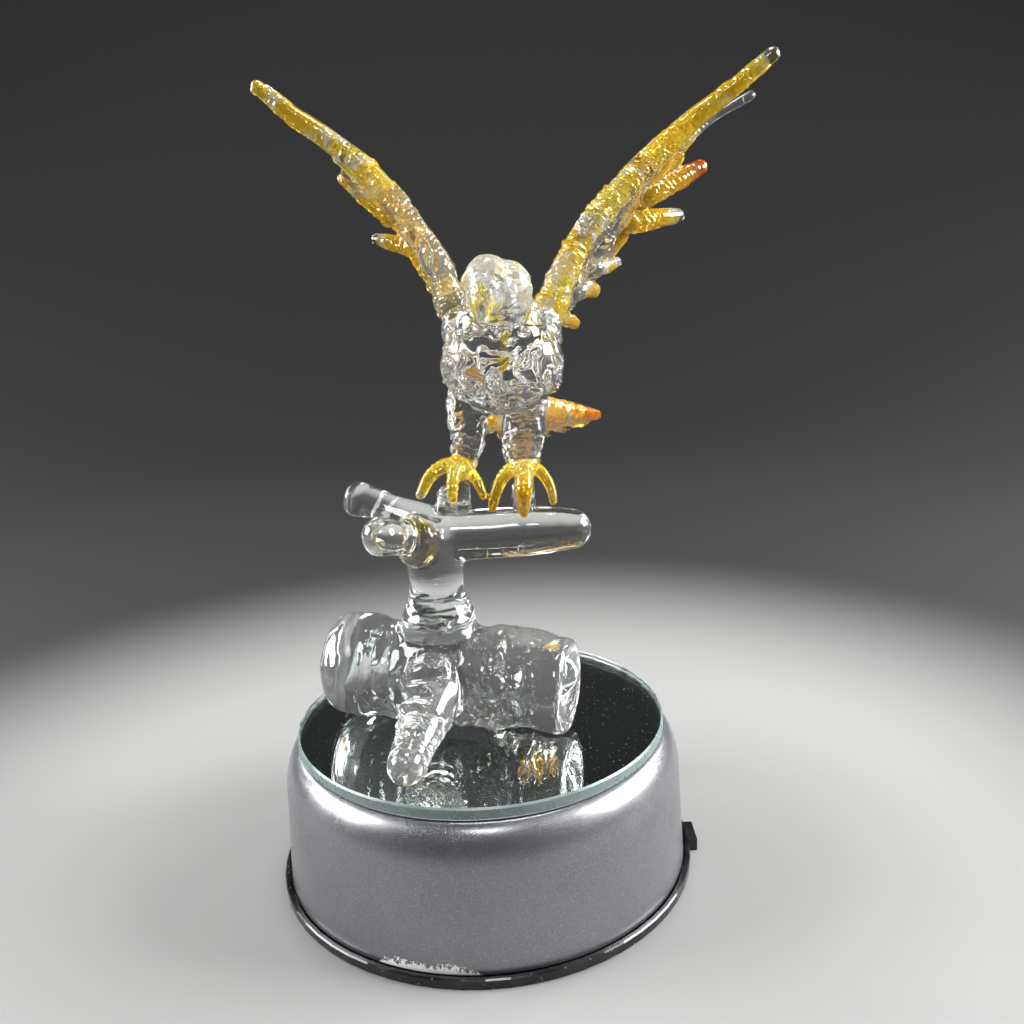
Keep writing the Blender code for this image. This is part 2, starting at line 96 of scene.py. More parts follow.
CLEAR = Skin()
PERCH = Skin(lump=0.14)
COLLAR = Skin(ridge=0.15, pitch=2.6, lump=0.1)
LOG_END = Skin(frost=0.3, lump=0.14)
FOLDED = Skin(frost=0.3, ridge=0.62, pitch=4.2, lump=0.5)
TWISTED = Skin(frost=0.3, ridge=0.80, pitch=6.0, swirl=0.14, lump=0.9)
RIPPLED = Skin(frost=0.3, ridge=1.0, pitch=4.4, lump=0.3)
RING = Skin(yellow=0.34, lump=0.1)
BREAST = Skin(swirl=0.60, lump=0.40)
LEG = Skin(swirl=0.50, lump=0.3, thread=0.5)
LEG_AMBER = Skin(amber=0.24, swirl=0.50, lump=0.3, thread=0.5)
HEAD = Skin(yellow=0.25, frost=1.0, ridge=0.32, pitch=2.3, swirl=0.10, lump=0.2)
BILL = Skin(yellow=0.38, frost=0.8)
FOOT = Skin(yellow=1.0, ridge=0.16, pitch=1.5)
TOE = Skin(yellow=0.9, amber=0.20, ridge=0.17, pitch=1.4)
TOE_TIP = Skin(yellow=0.45, amber=0.10)
HOT_TOE = Skin(yellow=0.8, amber=0.7, orange=0.22, ridge=0.17, pitch=1.4)
HOT_TIP = Skin(yellow=0.6, amber=0.5)
WOUND_CLEAR = Skin(frost=0.3, ridge=0.12, pitch=1.8, swirl=0.46, thread=0.9)
WOUND_PALE = Skin(yellow=0.30, ridge=0.18, pitch=1.8, swirl=0.42, thread=1.0)
WOUND_GOLD = Skin(yellow=0.72, amber=0.3, ridge=0.15, pitch=1.8, swirl=0.38, thread=1.0)
WOUND_AMBER = Skin(yellow=0.4, amber=0.85, ridge=0.15, pitch=1.9, swirl=0.38, thread=0.9)
SMOOTH_GOLD = Skin(yellow=0.7, amber=0.5, ridge=0.05, swirl=0.08, thread=0.2)
SMOOTH_PALE = Skin(yellow=0.40, amber=0.2, ridge=0.05, swirl=0.32, thread=1.0)
SILVERY = Skin(frost=0.4, ridge=0.06, swirl=0.54, lump=0.2, thread=0.9)
SILVERY_GOLD = Skin(yellow=0.30, frost=0.3, ridge=0.06, swirl=0.50, lump=0.2, thread=0.9)
FEATHER = Skin(yellow=0.3, amber=0.9, ridge=0.17, pitch=2.0, swirl=0.34, thread=0.6)
FEATHER_RED = Skin(amber=0.4, orange=1.0, ridge=0.1, pitch=1.7, swirl=0.2)
FEATHER_TIP = Skin(yellow=0.2)
TAIL_SKIN = Skin(amber=0.72, orange=0.28, swirl=0.42, ridge=0.12, pitch=1.8, thread=0.6)
TAIL_CLEAR = Skin(amber=0.22, swirl=0.42, thread=0.6)
TAIL_END = Skin(orange=0.45, amber=0.6, ridge=0.10)


class Rod(NamedTuple):
    """A drawn rod of glass: rows of x, y, height and radius, and its skin from root to tip."""

    rows: tuple
    skins: tuple
    cap: float = 1.0


class Turned(NamedTuple):
    """A turned length of glass between two points: rows of height and radius, and its skin."""

    start: tuple
    end: tuple
    profile: tuple
    skins: tuple


# Perch: a short log that lies on the mirror, a post on it, and a crossbar of three arms on the post
LOG = Turned(
    (-34.0, 5.0, 12.45), (23.5, -14.3, 11.15),
    ((0.0, 0.0), (0.0, 9.0), (0.7, 11.0), (2.4, 12.2), (8.0, 12.3), (16.0, 11.4), (24.0, 11.6),
     (32.0, 11.8), (41.0, 11.4), (46.0, 11.0), (50.0, 10.4), (53.0, 10.6), (55.6, 11.0), (57.4, 10.9),
     (58.4, 9.9), (58.0, 8.4), (56.4, 6.6), (55.8, 0.0)),
    (LOG_END, LOG_END, FOLDED, FOLDED, LOG_END, LOG_END, TWISTED, TWISTED, LOG_END, LOG_END),
)
LOG_SWELLING = ((7.0, -8.4, 13.6), (17.0, 9.5, 10.7))
# Folds over the log: how far along it starts and ends, its angles up from the front, and its radius
LOG_FOLDS = (
    (12.4, 11.6, -48.0, 112.0, 0.9), (14.8, 15.6, -60.0, 96.0, 0.8), (17.0, 16.2, -44.0, 84.0, 1.0),
    (19.6, 20.8, -62.0, 62.0, 0.8), (39.0, 34.6, 4.0, 78.0, 1.5), (42.4, 37.2, -16.0, 84.0, 1.4),
    (46.4, 42.0, -38.0, 70.0, 1.9), (30.4, 31.6, -56.0, 30.0, 1.1), (33.6, 38.4, -58.0, 14.0, 1.6),
    (50.6, 50.0, -46.0, 62.0, 1.7), (40.2, 44.8, -64.0, -20.0, 1.3),
)
FOLD_STEPS = 16
POST = Turned(
    (-8.3, -4.0, 18.0), (-8.3, -4.0, 51.0),
    ((0.0, 0.0), (0.0, 10.5), (3.0, 9.2), (4.4, 8.4), (5.0, 8.9), (6.4, 8.9), (6.9, 8.1), (7.5, 8.6),
     (8.9, 8.6), (10.4, 7.6), (13.5, 6.5), (18.0, 6.2), (22.0, 6.5), (28.0, 7.0), (31.5, 5.2), (33.0, 0.0)),
    (COLLAR, COLLAR, COLLAR, PERCH, PERCH, PERCH, PERCH),
)
RIGHT_ARM = (
    (-9.0, -3.7, 45.3, 5.8), (4.0, -3.7, 45.4, 5.9), (16.0, -3.7, 45.6, 5.6), (23.0, -3.7, 45.6, 4.7),
)
BACK_ARM = (
    (-8.0, -2.5, 46.6, 5.4), (-13.2, 1.6, 48.4, 4.3), (-17.8, 4.6, 49.7, 3.5), (-22.4, 7.6, 50.8, 3.8),
    (-27.4, 10.0, 51.6, 4.6),
)
BLUNT_CAP = 0.45
FLAT_CAP = 0.08
KNOB_NECK = (
    (-8.5, -4.0, 45.3, 5.0), (-12.0, -8.6, 46.3, 4.4), (-15.2, -12.4, 47.8, 4.0), (-18.6, -15.8, 49.2, 4.4),
)
KNOB_RING = ((-10.6, -7.4, 45.8, 6.0), (-13.0, -9.9, 46.4, 6.1))
FRONT_STUB = (
    (-8.5, -9.0, 15.5, 7.6), (-9.2, -14.0, 12.8, 7.3), (-10.7, -20.0, 9.8, 6.0), (-12.6, -26.0, 6.9, 5.0),
    (-14.2, -31.6, 4.9, 4.5), (-14.7, -33.8, 4.4, 4.3),
)
FOOT_STUBS = (
    ((-2.0, -3.6, 48.0, 2.8), (-1.6, -3.2, 59.0, 2.3)),
    ((12.5, -3.8, 48.0, 2.7), (12.8, -3.6, 58.6, 2.3)),
    ((-5.6, -3.8, 50.6, 2.5), (-5.0, -3.4, 54.6, 2.0)),
)
PERCH_RODS = (
    Rod(RIGHT_ARM, (PERCH,)),
    Rod(BACK_ARM, (PERCH,), BLUNT_CAP),
    Rod(KNOB_NECK, (PERCH,)),
    Rod(KNOB_RING, (RING,), FLAT_CAP),
    Rod(FRONT_STUB, (RIPPLED, RIPPLED, RIPPLED, LOG_END)),
)

# Eagle: lumps of x, y, height, with their radii, and rods
LUMPS = (
    ((9.0, -5.0, 84.4), (13.1, 10.5, 11.4), BREAST),
    ((10.0, 4.0, 84.0), (12.4, 12.0, 10.4), BREAST),
    ((1.2, 0.5, 90.3), (5.2, 7.0, 5.4), BREAST),
    ((17.4, 0.5, 89.6), (5.2, 7.0, 5.4), BREAST),
    ((9.6, -7.0, 92.8), (9.8, 7.4, 5.4), BREAST),
    ((9.0, -6.5, 88.5), (10.5, 9.2, 9.5), BREAST),
    ((14.4, -2.0, 80.2), (7.4, 8.0, 5.6), BREAST),
    ((9.6, -13.5, 99.8), (6.2, 6.2, 5.9), HEAD),
    ((7.0, -17.6, 101.9), (4.7, 4.8, 4.7), HEAD),
    ((6.4, -18.6, 98.4), (3.8, 4.0, 4.0), HEAD),
    ((12.2, -16.6, 101.4), (2.3, 2.2, 2.3), HEAD),
    ((3.4, -16.4, 101.6), (2.0, 2.1, 2.1), HEAD),
    ((12.3, -12.6, 96.2), (3.2, 3.2, 3.0), HEAD),
    ((-1.4, -3.0, 61.2), (3.0, 3.0, 2.6), FOOT),
    ((12.8, -4.0, 60.2), (3.0, 3.0, 2.6), FOOT),
)
BODY_RODS = (
    Rod(((11.0, 8.0, 81.0, 9.6), (12.0, 16.0, 76.4, 7.2), (13.4, 22.0, 72.4, 5.2), (14.4, 27.0, 69.4, 3.8)),
        (BREAST, BREAST, TAIL_CLEAR)),
    Rod(((9.4, -6.0, 92.0, 7.6), (9.6, -10.5, 96.4, 6.4), (9.4, -13.4, 99.6, 6.0)), (BREAST, BREAST, HEAD)),
    Rod(((6.7, -19.6, 101.4, 3.5), (6.2, -21.8, 99.4, 2.8), (5.6, -22.6, 96.9, 2.2), (5.5, -22.0, 95.0, 1.6)),
        (HEAD, HEAD, BILL, BILL)),
    Rod(((1.4, 1.0, 79.0, 4.6), (0.6, 1.6, 74.5, 4.3), (0.7, 0.0, 68.6, 4.1), (-0.2, -2.0, 62.2, 3.0)),
        (LEG_AMBER, LEG, LEG, LEG)),
    Rod(((14.4, 1.0, 79.0, 5.0), (14.0, 1.6, 74.0, 4.8), (13.1, 0.0, 68.1, 5.3), (12.8, -1.8, 64.0, 4.5),
         (13.0, -3.0, 61.2, 3.5)), (LEG_AMBER, LEG, LEG_AMBER, LEG)),
)
TOE_RODS = (
    Rod(((-1.4, -3.0, 61.2, 1.9), (-4.6, -4.8, 61.8, 1.6), (-7.8, -7.0, 60.1, 1.5), (-10.1, -9.0, 56.4, 1.2)),
        (FOOT, TOE, TOE, TOE_TIP)),
    Rod(((-1.4, -3.0, 61.2, 1.9), (-2.4, -7.4, 60.6, 1.6), (-3.0, -9.8, 58.0, 1.4), (-3.0, -10.0, 55.4, 1.1)),
        (FOOT, TOE, TOE, TOE)),
    Rod(((-1.4, -3.0, 61.2, 1.9), (0.8, -5.4, 60.0, 1.4), (2.6, -7.6, 58.0, 1.2), (3.6, -9.0, 55.6, 1.0)),
        (FOOT, TOE, TOE, TOE_TIP)),
    Rod(((-1.4, -3.0, 61.2, 1.9), (-1.8, 1.6, 60.6, 1.6), (-2.2, 4.6, 57.6, 1.2)), (FOOT, TOE, TOE_TIP)),
    Rod(((12.8, -4.0, 60.2, 1.9), (9.6, -6.2, 60.2, 1.6), (7.0, -8.2, 57.4, 1.4), (5.5, -9.4, 52.8, 1.1)),
        (FOOT, TOE, TOE, HOT_TOE)),
    Rod(((12.8, -4.0, 60.2, 2.1), (12.7, -9.0, 59.6, 2.0), (12.5, -11.4, 56.6, 1.9),
         (12.3, -11.0, 51.8, 1.2)), (HOT_TOE, HOT_TOE, HOT_TOE, HOT_TIP)),
    Rod(((12.8, -4.0, 60.2, 1.9), (16.0, -6.0, 60.0, 1.5), (18.2, -7.8, 57.2, 1.2), (18.9, -9.0, 53.6, 1.0)),
        (FOOT, TOE, TOE, TOE_TIP)),
    Rod(((12.8, -4.0, 60.2, 1.9), (13.2, 1.0, 59.8, 1.6), (13.6, 4.2, 56.6, 1.2)), (FOOT, TOE, TOE_TIP)),
)
TAIL_ROOT = (14.0, 23.5, 70.6)
TAIL_TIPS = (
    (3.8, 38.0, 62.2), (8.0, 42.5, 59.8), (13.6, 45.2, 58.8), (19.6, 45.8, 59.0), (25.2, 44.8, 60.2),
    (30.0, 43.4, 61.8), (33.6, 44.6, 63.2),
)
TAIL_RADII = (2.6, 2.7, 2.5, 1.5)
TAIL_SAG = 1.6

# Wings: a thick leading rod, a trailing line behind it, strands between the two, and loose feathers.
# A strand's row is its share of the way back, of the wing's length, and of the trailing line's radius.
LEFT_LEADING = Rod(
    ((2.2, 2.0, 89.0, 4.4), (-1.6, 3.0, 97.0, 3.5), (-3.3, 3.4, 104.0, 3.0), (-6.4, 4.0, 109.4, 2.9),
     (-10.5, 5.0, 115.6, 2.8), (-14.4, 6.0, 120.7, 2.7), (-19.2, 7.0, 126.3, 2.6), (-23.4, 7.5, 129.7, 2.5),
     (-28.4, 8.0, 133.6, 2.3), (-33.5, 9.0, 137.2, 2.1), (-38.4, 10.0, 141.4, 1.8),
     (-40.8, 10.0, 143.5, 1.6)),
    (WOUND_CLEAR, SILVERY_GOLD, SILVERY, SILVERY, SILVERY, WOUND_CLEAR, WOUND_GOLD, SILVERY_GOLD,
     SMOOTH_PALE, SMOOTH_GOLD, SMOOTH_PALE, SMOOTH_PALE),
)
LEFT_TRAILING = Rod(
    ((1.0, 8.0, 90.0, 3.0), (-4.3, 12.0, 99.0, 2.2), (-8.3, 14.0, 106.0, 2.0), (-12.0, 15.0, 113.4, 1.9),
     (-16.9, 15.0, 118.0, 1.9), (-21.9, 14.0, 123.2, 1.8), (-26.0, 12.0, 130.0, 1.6),
     (-29.4, 10.0, 133.6, 1.4)),
    (WOUND_GOLD, SILVERY_GOLD, WOUND_GOLD, FEATHER, WOUND_AMBER, WOUND_AMBER, SILVERY_GOLD, WOUND_PALE),
)
RIGHT_LEADING = Rod(
    ((16.4, 2.0, 88.6, 4.6), (21.0, 2.8, 96.6, 3.6), (22.4, 3.0, 100.4, 3.1), (26.3, 4.0, 107.2, 3.0),
     (31.1, 5.0, 113.4, 3.0), (35.8, 6.0, 118.0, 3.0), (43.4, 7.0, 124.8, 2.8), (51.8, 8.0, 132.0, 2.4),
     (57.9, 9.0, 136.3, 2.1), (62.8, 9.4, 139.7, 2.0), (67.0, 9.8, 142.9, 1.8), (70.0, 10.0, 145.3, 1.7)),
    (WOUND_CLEAR, WOUND_GOLD, WOUND_PALE, WOUND_AMBER, WOUND_PALE, WOUND_GOLD, WOUND_PALE, WOUND_GOLD,
     SMOOTH_GOLD, SMOOTH_GOLD, WOUND_GOLD, FEATHER_TIP),
)
RIGHT_TRAILING = Rod(
    ((17.4, 8.0, 88.6, 3.2), (24.2, 13.0, 95.0, 2.2), (30.0, 16.0, 100.8, 2.0), (36.1, 17.0, 107.5, 2.0),
     (42.9, 17.0, 117.0, 2.0), (50.6, 16.0, 126.0, 1.9), (53.4, 14.0, 131.0, 1.7), (57.2, 11.0, 135.6, 1.5)),
    (WOUND_GOLD, SILVERY_GOLD, SILVERY, SILVERY_GOLD, FEATHER, FEATHER, WOUND_GOLD, WOUND_GOLD),
)
WING_STRANDS = ((0.34, 0.96, 1.05), (0.68, 0.88, 0.95), (1.0, 0.80, 1.0))
LEFT_STRAND_SKINS = (
    (SILVERY, SILVERY, SILVERY, SILVERY_GOLD, WOUND_AMBER, WOUND_GOLD, WOUND_PALE),
    (SILVERY_GOLD, SILVERY, SILVERY_GOLD, WOUND_AMBER, WOUND_AMBER, SILVERY, WOUND_PALE),
)
RIGHT_STRAND_SKINS = (
    (WOUND_PALE, WOUND_GOLD, SILVERY_GOLD, SILVERY, SILVERY, WOUND_PALE, WOUND_GOLD),
    (SILVERY, SILVERY, SILVERY, SILVERY, SILVERY_GOLD, FEATHER, WOUND_GOLD),
)
LEFT_FEATHERS = (
    Rod(((-14.6, 13.0, 115.6, 2.2), (-19.4, 14.6, 119.6, 2.1), (-24.6, 15.4, 124.2, 1.4)),
        (FEATHER, FEATHER, FEATHER)),
    Rod(((-9.0, 13.0, 108.4, 2.4), (-13.4, 15.6, 109.6, 2.0), (-18.6, 18.0, 111.0, 1.4)),
        (FEATHER, FEATHER, FEATHER_TIP)),
    Rod(((-3.6, 12.0, 98.6, 2.2), (-6.0, 15.0, 100.0, 1.8)), (WOUND_AMBER, WOUND_AMBER)),
)
RIGHT_FEATHERS = (
    Rod(((50.6, 12.0, 128.2, 1.8), (55.4, 13.5, 131.8, 1.3), (60.2, 15.0, 134.7, 1.0),
         (67.4, 18.0, 138.3, 1.2)), (WOUND_GOLD, SILVERY, CLEAR, CLEAR)),
    Rod(((43.8, 14.0, 117.8, 2.6), (51.2, 17.5, 121.2, 2.4), (56.4, 20.0, 123.6, 1.8)),
        (FEATHER, FEATHER, FEATHER_RED)),
    Rod(((40.0, 15.5, 112.0, 2.4), (46.4, 19.0, 112.8, 2.3), (51.6, 22.0, 113.2, 1.8)),
        (FEATHER, FEATHER, FEATHER_TIP)),
    Rod(((31.6, 14.0, 102.4, 2.1), (34.6, 17.5, 102.8, 1.9), (37.0, 20.0, 103.4, 1.3)),
        (SILVERY_GOLD, FEATHER, FEATHER_TIP)),
    Rod(((26.0, 11.0, 97.0, 2.2), (29.2, 15.0, 97.8, 2.1), (31.0, 18.0, 97.0, 1.8)),
        (SILVERY, FEATHER, WOUND_AMBER)),
    Rod(((21.8, 10.0, 92.4, 2.0), (24.6, 13.5, 91.0, 1.7), (26.6, 16.0, 89.6, 1.2)),
        (WOUND_GOLD, FEATHER, WOUND_AMBER)),
)

# Streaks of colour laid into the breast: two ends, a half width and a tint
STREAKS = (
    ((2.6, -15.5, 95.8), (8.4, -18.0, 93.6), 1.9, Skin(yellow=0.8)),
    ((-3.0, -12.0, 88.0), (4.0, -13.5, 95.0), 2.0, Skin(yellow=0.42)),
    ((22.0, -11.0, 86.5), (15.5, -12.5, 94.0), 2.2, Skin(yellow=0.40)),
    ((10.0, -16.5, 91.0), (9.4, -16.5, 82.0), 1.5, Skin(yellow=0.45, amber=0.3)),
    ((12.5, -8.0, 79.0), (19.0, -7.5, 78.0), 2.0, Skin(amber=0.55)),
)

ROD_SIDES = 14
ROD_STEP = 0.8
ROD_CAP_ANGLES = (75.0, 60.0, 45.0, 30.0, 15.0)
ROD_TIP_SHARE = 0.02
LUMP_SEGMENTS = 32
LUMP_RINGS = 20
LOG_SIDES = 64
POST_SIDES = 48
SOFTENING = 6
PERCH_SMOOTHING = 2
EAGLE_SMOOTHING = 0
SAMPLE_CHUNK = 6000
SAMPLE_REACH = 16.0
SKIN_SOFTNESS = 0.7
ROD_RUN_OFFSET = 7.3
RIDGE_SLANT = 0.18
SWIRL_SIZE = 2.7
SWIRL_TURNS = 1.35
SWIRL_WARP = 1.1
SWIRL_SINK = 0.2
LUMP_SIZE = 5.0
STREAK_CORE = 1.6
SPECK_TURN = (math.radians(45.0), math.radians(35.0), 0.0)
RIDGE_AXIS = Vector((0.35, -0.93, 0.1)).normalized()


class Winding(NamedTuple):
    """How ridges stray from true rings: by how much, over what length, and the size of their patches."""

    stray: float
    stray_size: float
    patch_size: float


# Ridges pass from the fine winding to the broad one over PITCH_BLEND parts above FINE_PITCH.
FINE_WINDING = Winding(stray=5.0, stray_size=3.0, patch_size=3.4)
BROAD_WINDING = Winding(stray=4.0, stray_size=9.0, patch_size=7.0)
FINE_PITCH = 2.4
PITCH_BLEND = 1.2
LEAST_PITCH = 0.5
PATCH_START, PATCH_GAIN, PATCH_LEAST = 0.25, 2.2, 0.1

# Glass finishes as (name, transmission, least roughness), and the tint or frost each is used from
FINISHES = (
    ("clear_glass_look", 0.97, 0.0),
    ("amber_glass_look", 0.77, 0.0),
    ("frosted_glass_look", 0.80, 0.08),
    ("silvery_glass_look", 0.92, 0.01),
)
CLEAR_SLOT, TINTED_SLOT, FROSTED_SLOT, SILVERY_SLOT = range(len(FINISHES))
TINTED_FROM = 0.45
FROSTED_FROM = 0.5
SILVERY_FROM = 0.2
SHARP_ANGLE = math.radians(30.0)
FIGURE_IOR = 1.48
PLATE_IOR = 1.5

# Angles round from the drum's front over which the chips in the paint fade in and out
CHIPS_BEGIN = (math.radians(-29.0), math.radians(-25.0))
CHIPS_STOP = (math.radians(1.0), math.radians(-5.0))
CHIP_SOFTNESS = 0.0001

# Lights as (name, place, width and height, share of the key power)
LIGHTS = (
    ("left_softbox", (-0.56, 0.0, 0.34), (0.40, 0.34), 1.8),
    ("right_softbox", (0.58, 0.0, 0.34), (0.40, 0.34), 2.8),
    ("front_softbox", (0.02, -0.44, 0.56), (0.14, 0.14), 0.25),
    ("left_rim", (-0.50, 0.40, 0.46), (0.12, 0.42), 0.35),
    ("right_rim", (0.52, 0.40, 0.46), (0.12, 0.42), 0.35),
    ("top_softbox", (0.05, 0.12, 0.75), (0.24, 0.24), 0.8),
)
LIGHTS_AIM = (0.0, 0.0, 0.08)


def between(a, b, share):
    return tuple(p + (q - p) * share for p, q in zip(a, b))


def smooth_path(rows):
    """Read a smooth curve through rows of x, y, height and radius, a step of about ROD_STEP apart."""
    path = []
    last = len(rows) - 1
    for i in range(last):
        before = Vector(rows[max(i - 1, 0)])
        a = Vector(rows[i])
        b = Vector(rows[i + 1])
        after = Vector(rows[min(i + 2, last)])
        slope = b - before
        bend = 2.0 * before - 5.0 * a + 4.0 * b - after
        twist = 3.0 * a - before - 3.0 * b + after
        steps = max(2, round((b - a).xyz.length / ROD_STEP))
        for step in range(steps):
            t = step / steps
            path.append(a + 0.5 * (slope * t + bend * t ** 2 + twist * t ** 3))
    path.append(Vector(rows[last]))
    return path


def row_at(path, share):
    """The row a share of the way along a path."""
    place = share * (len(path) - 1)
    i = min(int(place), len(path) - 2)
    return path[i].lerp(path[i + 1], place - i)


def skin_at(skins, share):
    """The skin a share of the way along a rod, as an array."""
    place = share * (len(skins) - 1)
    i = min(int(place), max(len(skins) - 2, 0))
    first = np.array(skins[i])
    second = np.array(skins[min(i + 1, len(skins) - 1)])
    return first + (second - first) * (place - i)


def wing_rods(leading, trailing, strand_skins, feathers):
    """One wing's rods as (path, skins, cap): leading rod, strands behind it and loose feathers."""
    leading_path = smooth_path(leading.rows)
    trailing_path = smooth_path(trailing.rows)
    rods = [(leading_path, leading.skins, leading.cap)]
    leading_root = leading_path[0].xyz
    reach = (trailing_path[-1].xyz - leading_root).length / (leading_path[-1].xyz - leading_root).length
    steps = len(trailing_path)
    for (share, length, thickness), skins in zip(WING_STRANDS, (*strand_skins, trailing.skins)):
        strand = []
        for i in range(steps):
            t = length * i / (steps - 1)
            front = row_at(leading_path, t * reach)
            back = row_at(trailing_path, t)
            row = front.lerp(back, share)
            row.w = back.w * thickness
            strand.append(row)
        rods.append((strand, skins, 1.0))
    for feather in feathers:
        rods.append((smooth_path(feather.rows), feather.skins, feather.cap))
    return rods


def read_rods(rods):
    return [(smooth_path(rod.rows), rod.skins, rod.cap) for rod in rods]


def eagle_rods():
    """Every rod of the eagle and the stubs under its feet, as (path, skins, cap)."""
    stubs = tuple(Rod(rows, (LEG,)) for rows in FOOT_STUBS)
    rods = read_rods((*BODY_RODS, *TOE_RODS, *stubs))
    for tip in TAIL_TIPS:
        rows = []
        for i, radius in enumerate(TAIL_RADII):
            share = i / (len(TAIL_RADII) - 1)
            x, y, height = between(TAIL_ROOT, tip, share)
            rows.append((x, y, height - TAIL_SAG * share * (1.0 - share), radius))
        end = TAIL_END if tip == TAIL_TIPS[-1] else TAIL_CLEAR
        rods.append((smooth_path(rows), (TAIL_CLEAR, TAIL_SKIN, end), 1.0))
    rods += wing_rods(LEFT_LEADING, LEFT_TRAILING, LEFT_STRAND_SKINS, LEFT_FEATHERS)
    rods += wing_rods(RIGHT_LEADING, RIGHT_TRAILING, RIGHT_STRAND_SKINS, RIGHT_FEATHERS)
    return rods


def log_folds():
    """Folds of glass laid over the log, as (path, skins, cap)."""
    start = Vector(LOG.start)
    axis = (Vector(LOG.end) - start).normalized()
    front = axis.cross(Vector((0.0, 0.0, 1.0))).normalized()
    up = front.cross(axis)
    heights, radii = zip(*((height, radius) for height, radius in LOG.profile[1:13]))
    folds = []
    for first, last, begin, stop, thickness in LOG_FOLDS:
        path = []
        for i in range(FOLD_STEPS + 1):
            share = i / FOLD_STEPS
            height = first + (last - first) * share
            angle = math.radians(begin + (stop - begin) * share)
            outward = front * math.cos(angle) + up * math.sin(angle)
            reach = np.interp(height, heights, radii) - thickness * 0.3
            radius = 0.2 + thickness * math.sin(math.pi * share) ** 0.5
            path.append(Vector((*(start + axis * height + outward * reach), radius)))
        folds.append((path, (LOG_END,), 1.0))
    return folds


def along(start, end):
    """Matrix that takes the Z axis to the line from start to end."""
    direction = Vector(end) - Vector(start)
    return Matrix.Translation(Vector(start)) @ direction.to_track_quat("Z", "Y").to_matrix().to_4x4()


def turned(mesh_data, profile, sides, place=Matrix()):
    """Turn a profile of (height, radius) about the Z axis, then move it by the matrix."""
    rings = []
    for height, radius in profile:
        if radius == 0.0:
            rings.append([mesh_data.verts.new(place @ Vector((0.0, 0.0, height)))])
            continue
        ring = []
        for i in range(sides):
            angle = math.tau * i / sides
            point = Vector((radius * math.cos(angle), radius * math.sin(angle), height))
            ring.append(mesh_data.verts.new(place @ point))
        rings.append(ring)
    for lower, upper in zip(rings, rings[1:]):
        count = max(len(lower), len(upper))
        for i in range(count):
            j = (i + 1) % count
            corners = [lower[i % len(lower)], lower[j % len(lower)], upper[j % len(upper)]]
            corners.append(upper[i % len(upper)])
            mesh_data.faces.new(list(dict.fromkeys(corners)))


def lattice_value(cells, seed):
    """A repeatable number from 0 to 1 for each whole-number cell."""
    n = cells[..., 0] * 73856093 ^ cells[..., 1] * 19349663 ^ cells[..., 2] * 83492791 ^ seed * 26544357
    n = (n ^ (n >> 13)) * 1274126177
    return ((n ^ (n >> 16)) & 0xFFFF) / 0xFFFF


def soft_noise(points, seed):
    """Smooth noise from 0 to 1 with bumps about one unit across."""
    base = np.floor(points).astype(np.int64)
    part = points - base
    part = part * part * (3.0 - 2.0 * part)
    total = np.zeros(len(points))
    for corner in itertools.product((0, 1), repeat=3):
        weight = np.prod(np.where(corner, part, 1.0 - part), axis=1)
        total += weight * lattice_value(base + np.array(corner), seed)
    return total


def swirls(points, size, turns):
    """Looping ridges from 0 to 1, like threads of glass laid on hot glass."""
    warp = np.stack([soft_noise(points / size, seed) for seed in (11, 12, 13)], axis=1) - 0.5
    folded = soft_noise(points / size + warp * SWIRL_WARP, 14)
    return np.maximum(np.cos(math.tau * turns * folded), 0.0) ** 2


class Samples(NamedTuple):
    """Points along the middle of every rod and lump, with what the glass there looks like."""

    centers: np.ndarray
    radii: np.ndarray
    axes: np.ndarray
    runs: np.ndarray
    skins: np.ndarray


def gather_samples(rods):
    """Samples of every rod, lump and turned length."""
    rows = []

    def add(center, radius, axis, run, skin):
        rows.append((*center, radius, *axis, run, *skin))

    for number, (path, rod_skins, _) in enumerate(rods):
        run = number * ROD_RUN_OFFSET
        for i, row in enumerate(path):
            ahead = path[min(i + 1, len(path) - 1)].xyz
            behind = path[max(i - 1, 0)].xyz
            if i:
                run += (row.xyz - behind).length
            add(row.xyz, row.w, (ahead - behind).normalized(), run, skin_at(rod_skins, i / (len(path) - 1)))
    for center, size, skin in LUMPS:
        add(center, sum(size) / 3.0, RIDGE_AXIS, RIDGE_AXIS.dot(Vector(center)), skin)
    for piece in (LOG, POST):
        start = Vector(piece.start)
        axis = (Vector(piece.end) - start).normalized()
        length = max(height for height, _ in piece.profile)
        for (low, low_radius), (high, high_radius) in zip(piece.profile, piece.profile[1:]):
            steps = max(1, round((high - low) / ROD_STEP))
            for step in range(steps):
                share = step / steps
                height = low + (high - low) * share
                radius = low_radius + (high_radius - low_radius) * share
                skin = skin_at(piece.skins, min(height / length, 1.0))
                add(start + axis * height, radius, axis, height, skin)
    table = np.array(rows)
    return Samples(table[:, :3], table[:, 3], table[:, 4:7], table[:, 7], table[:, 8:])


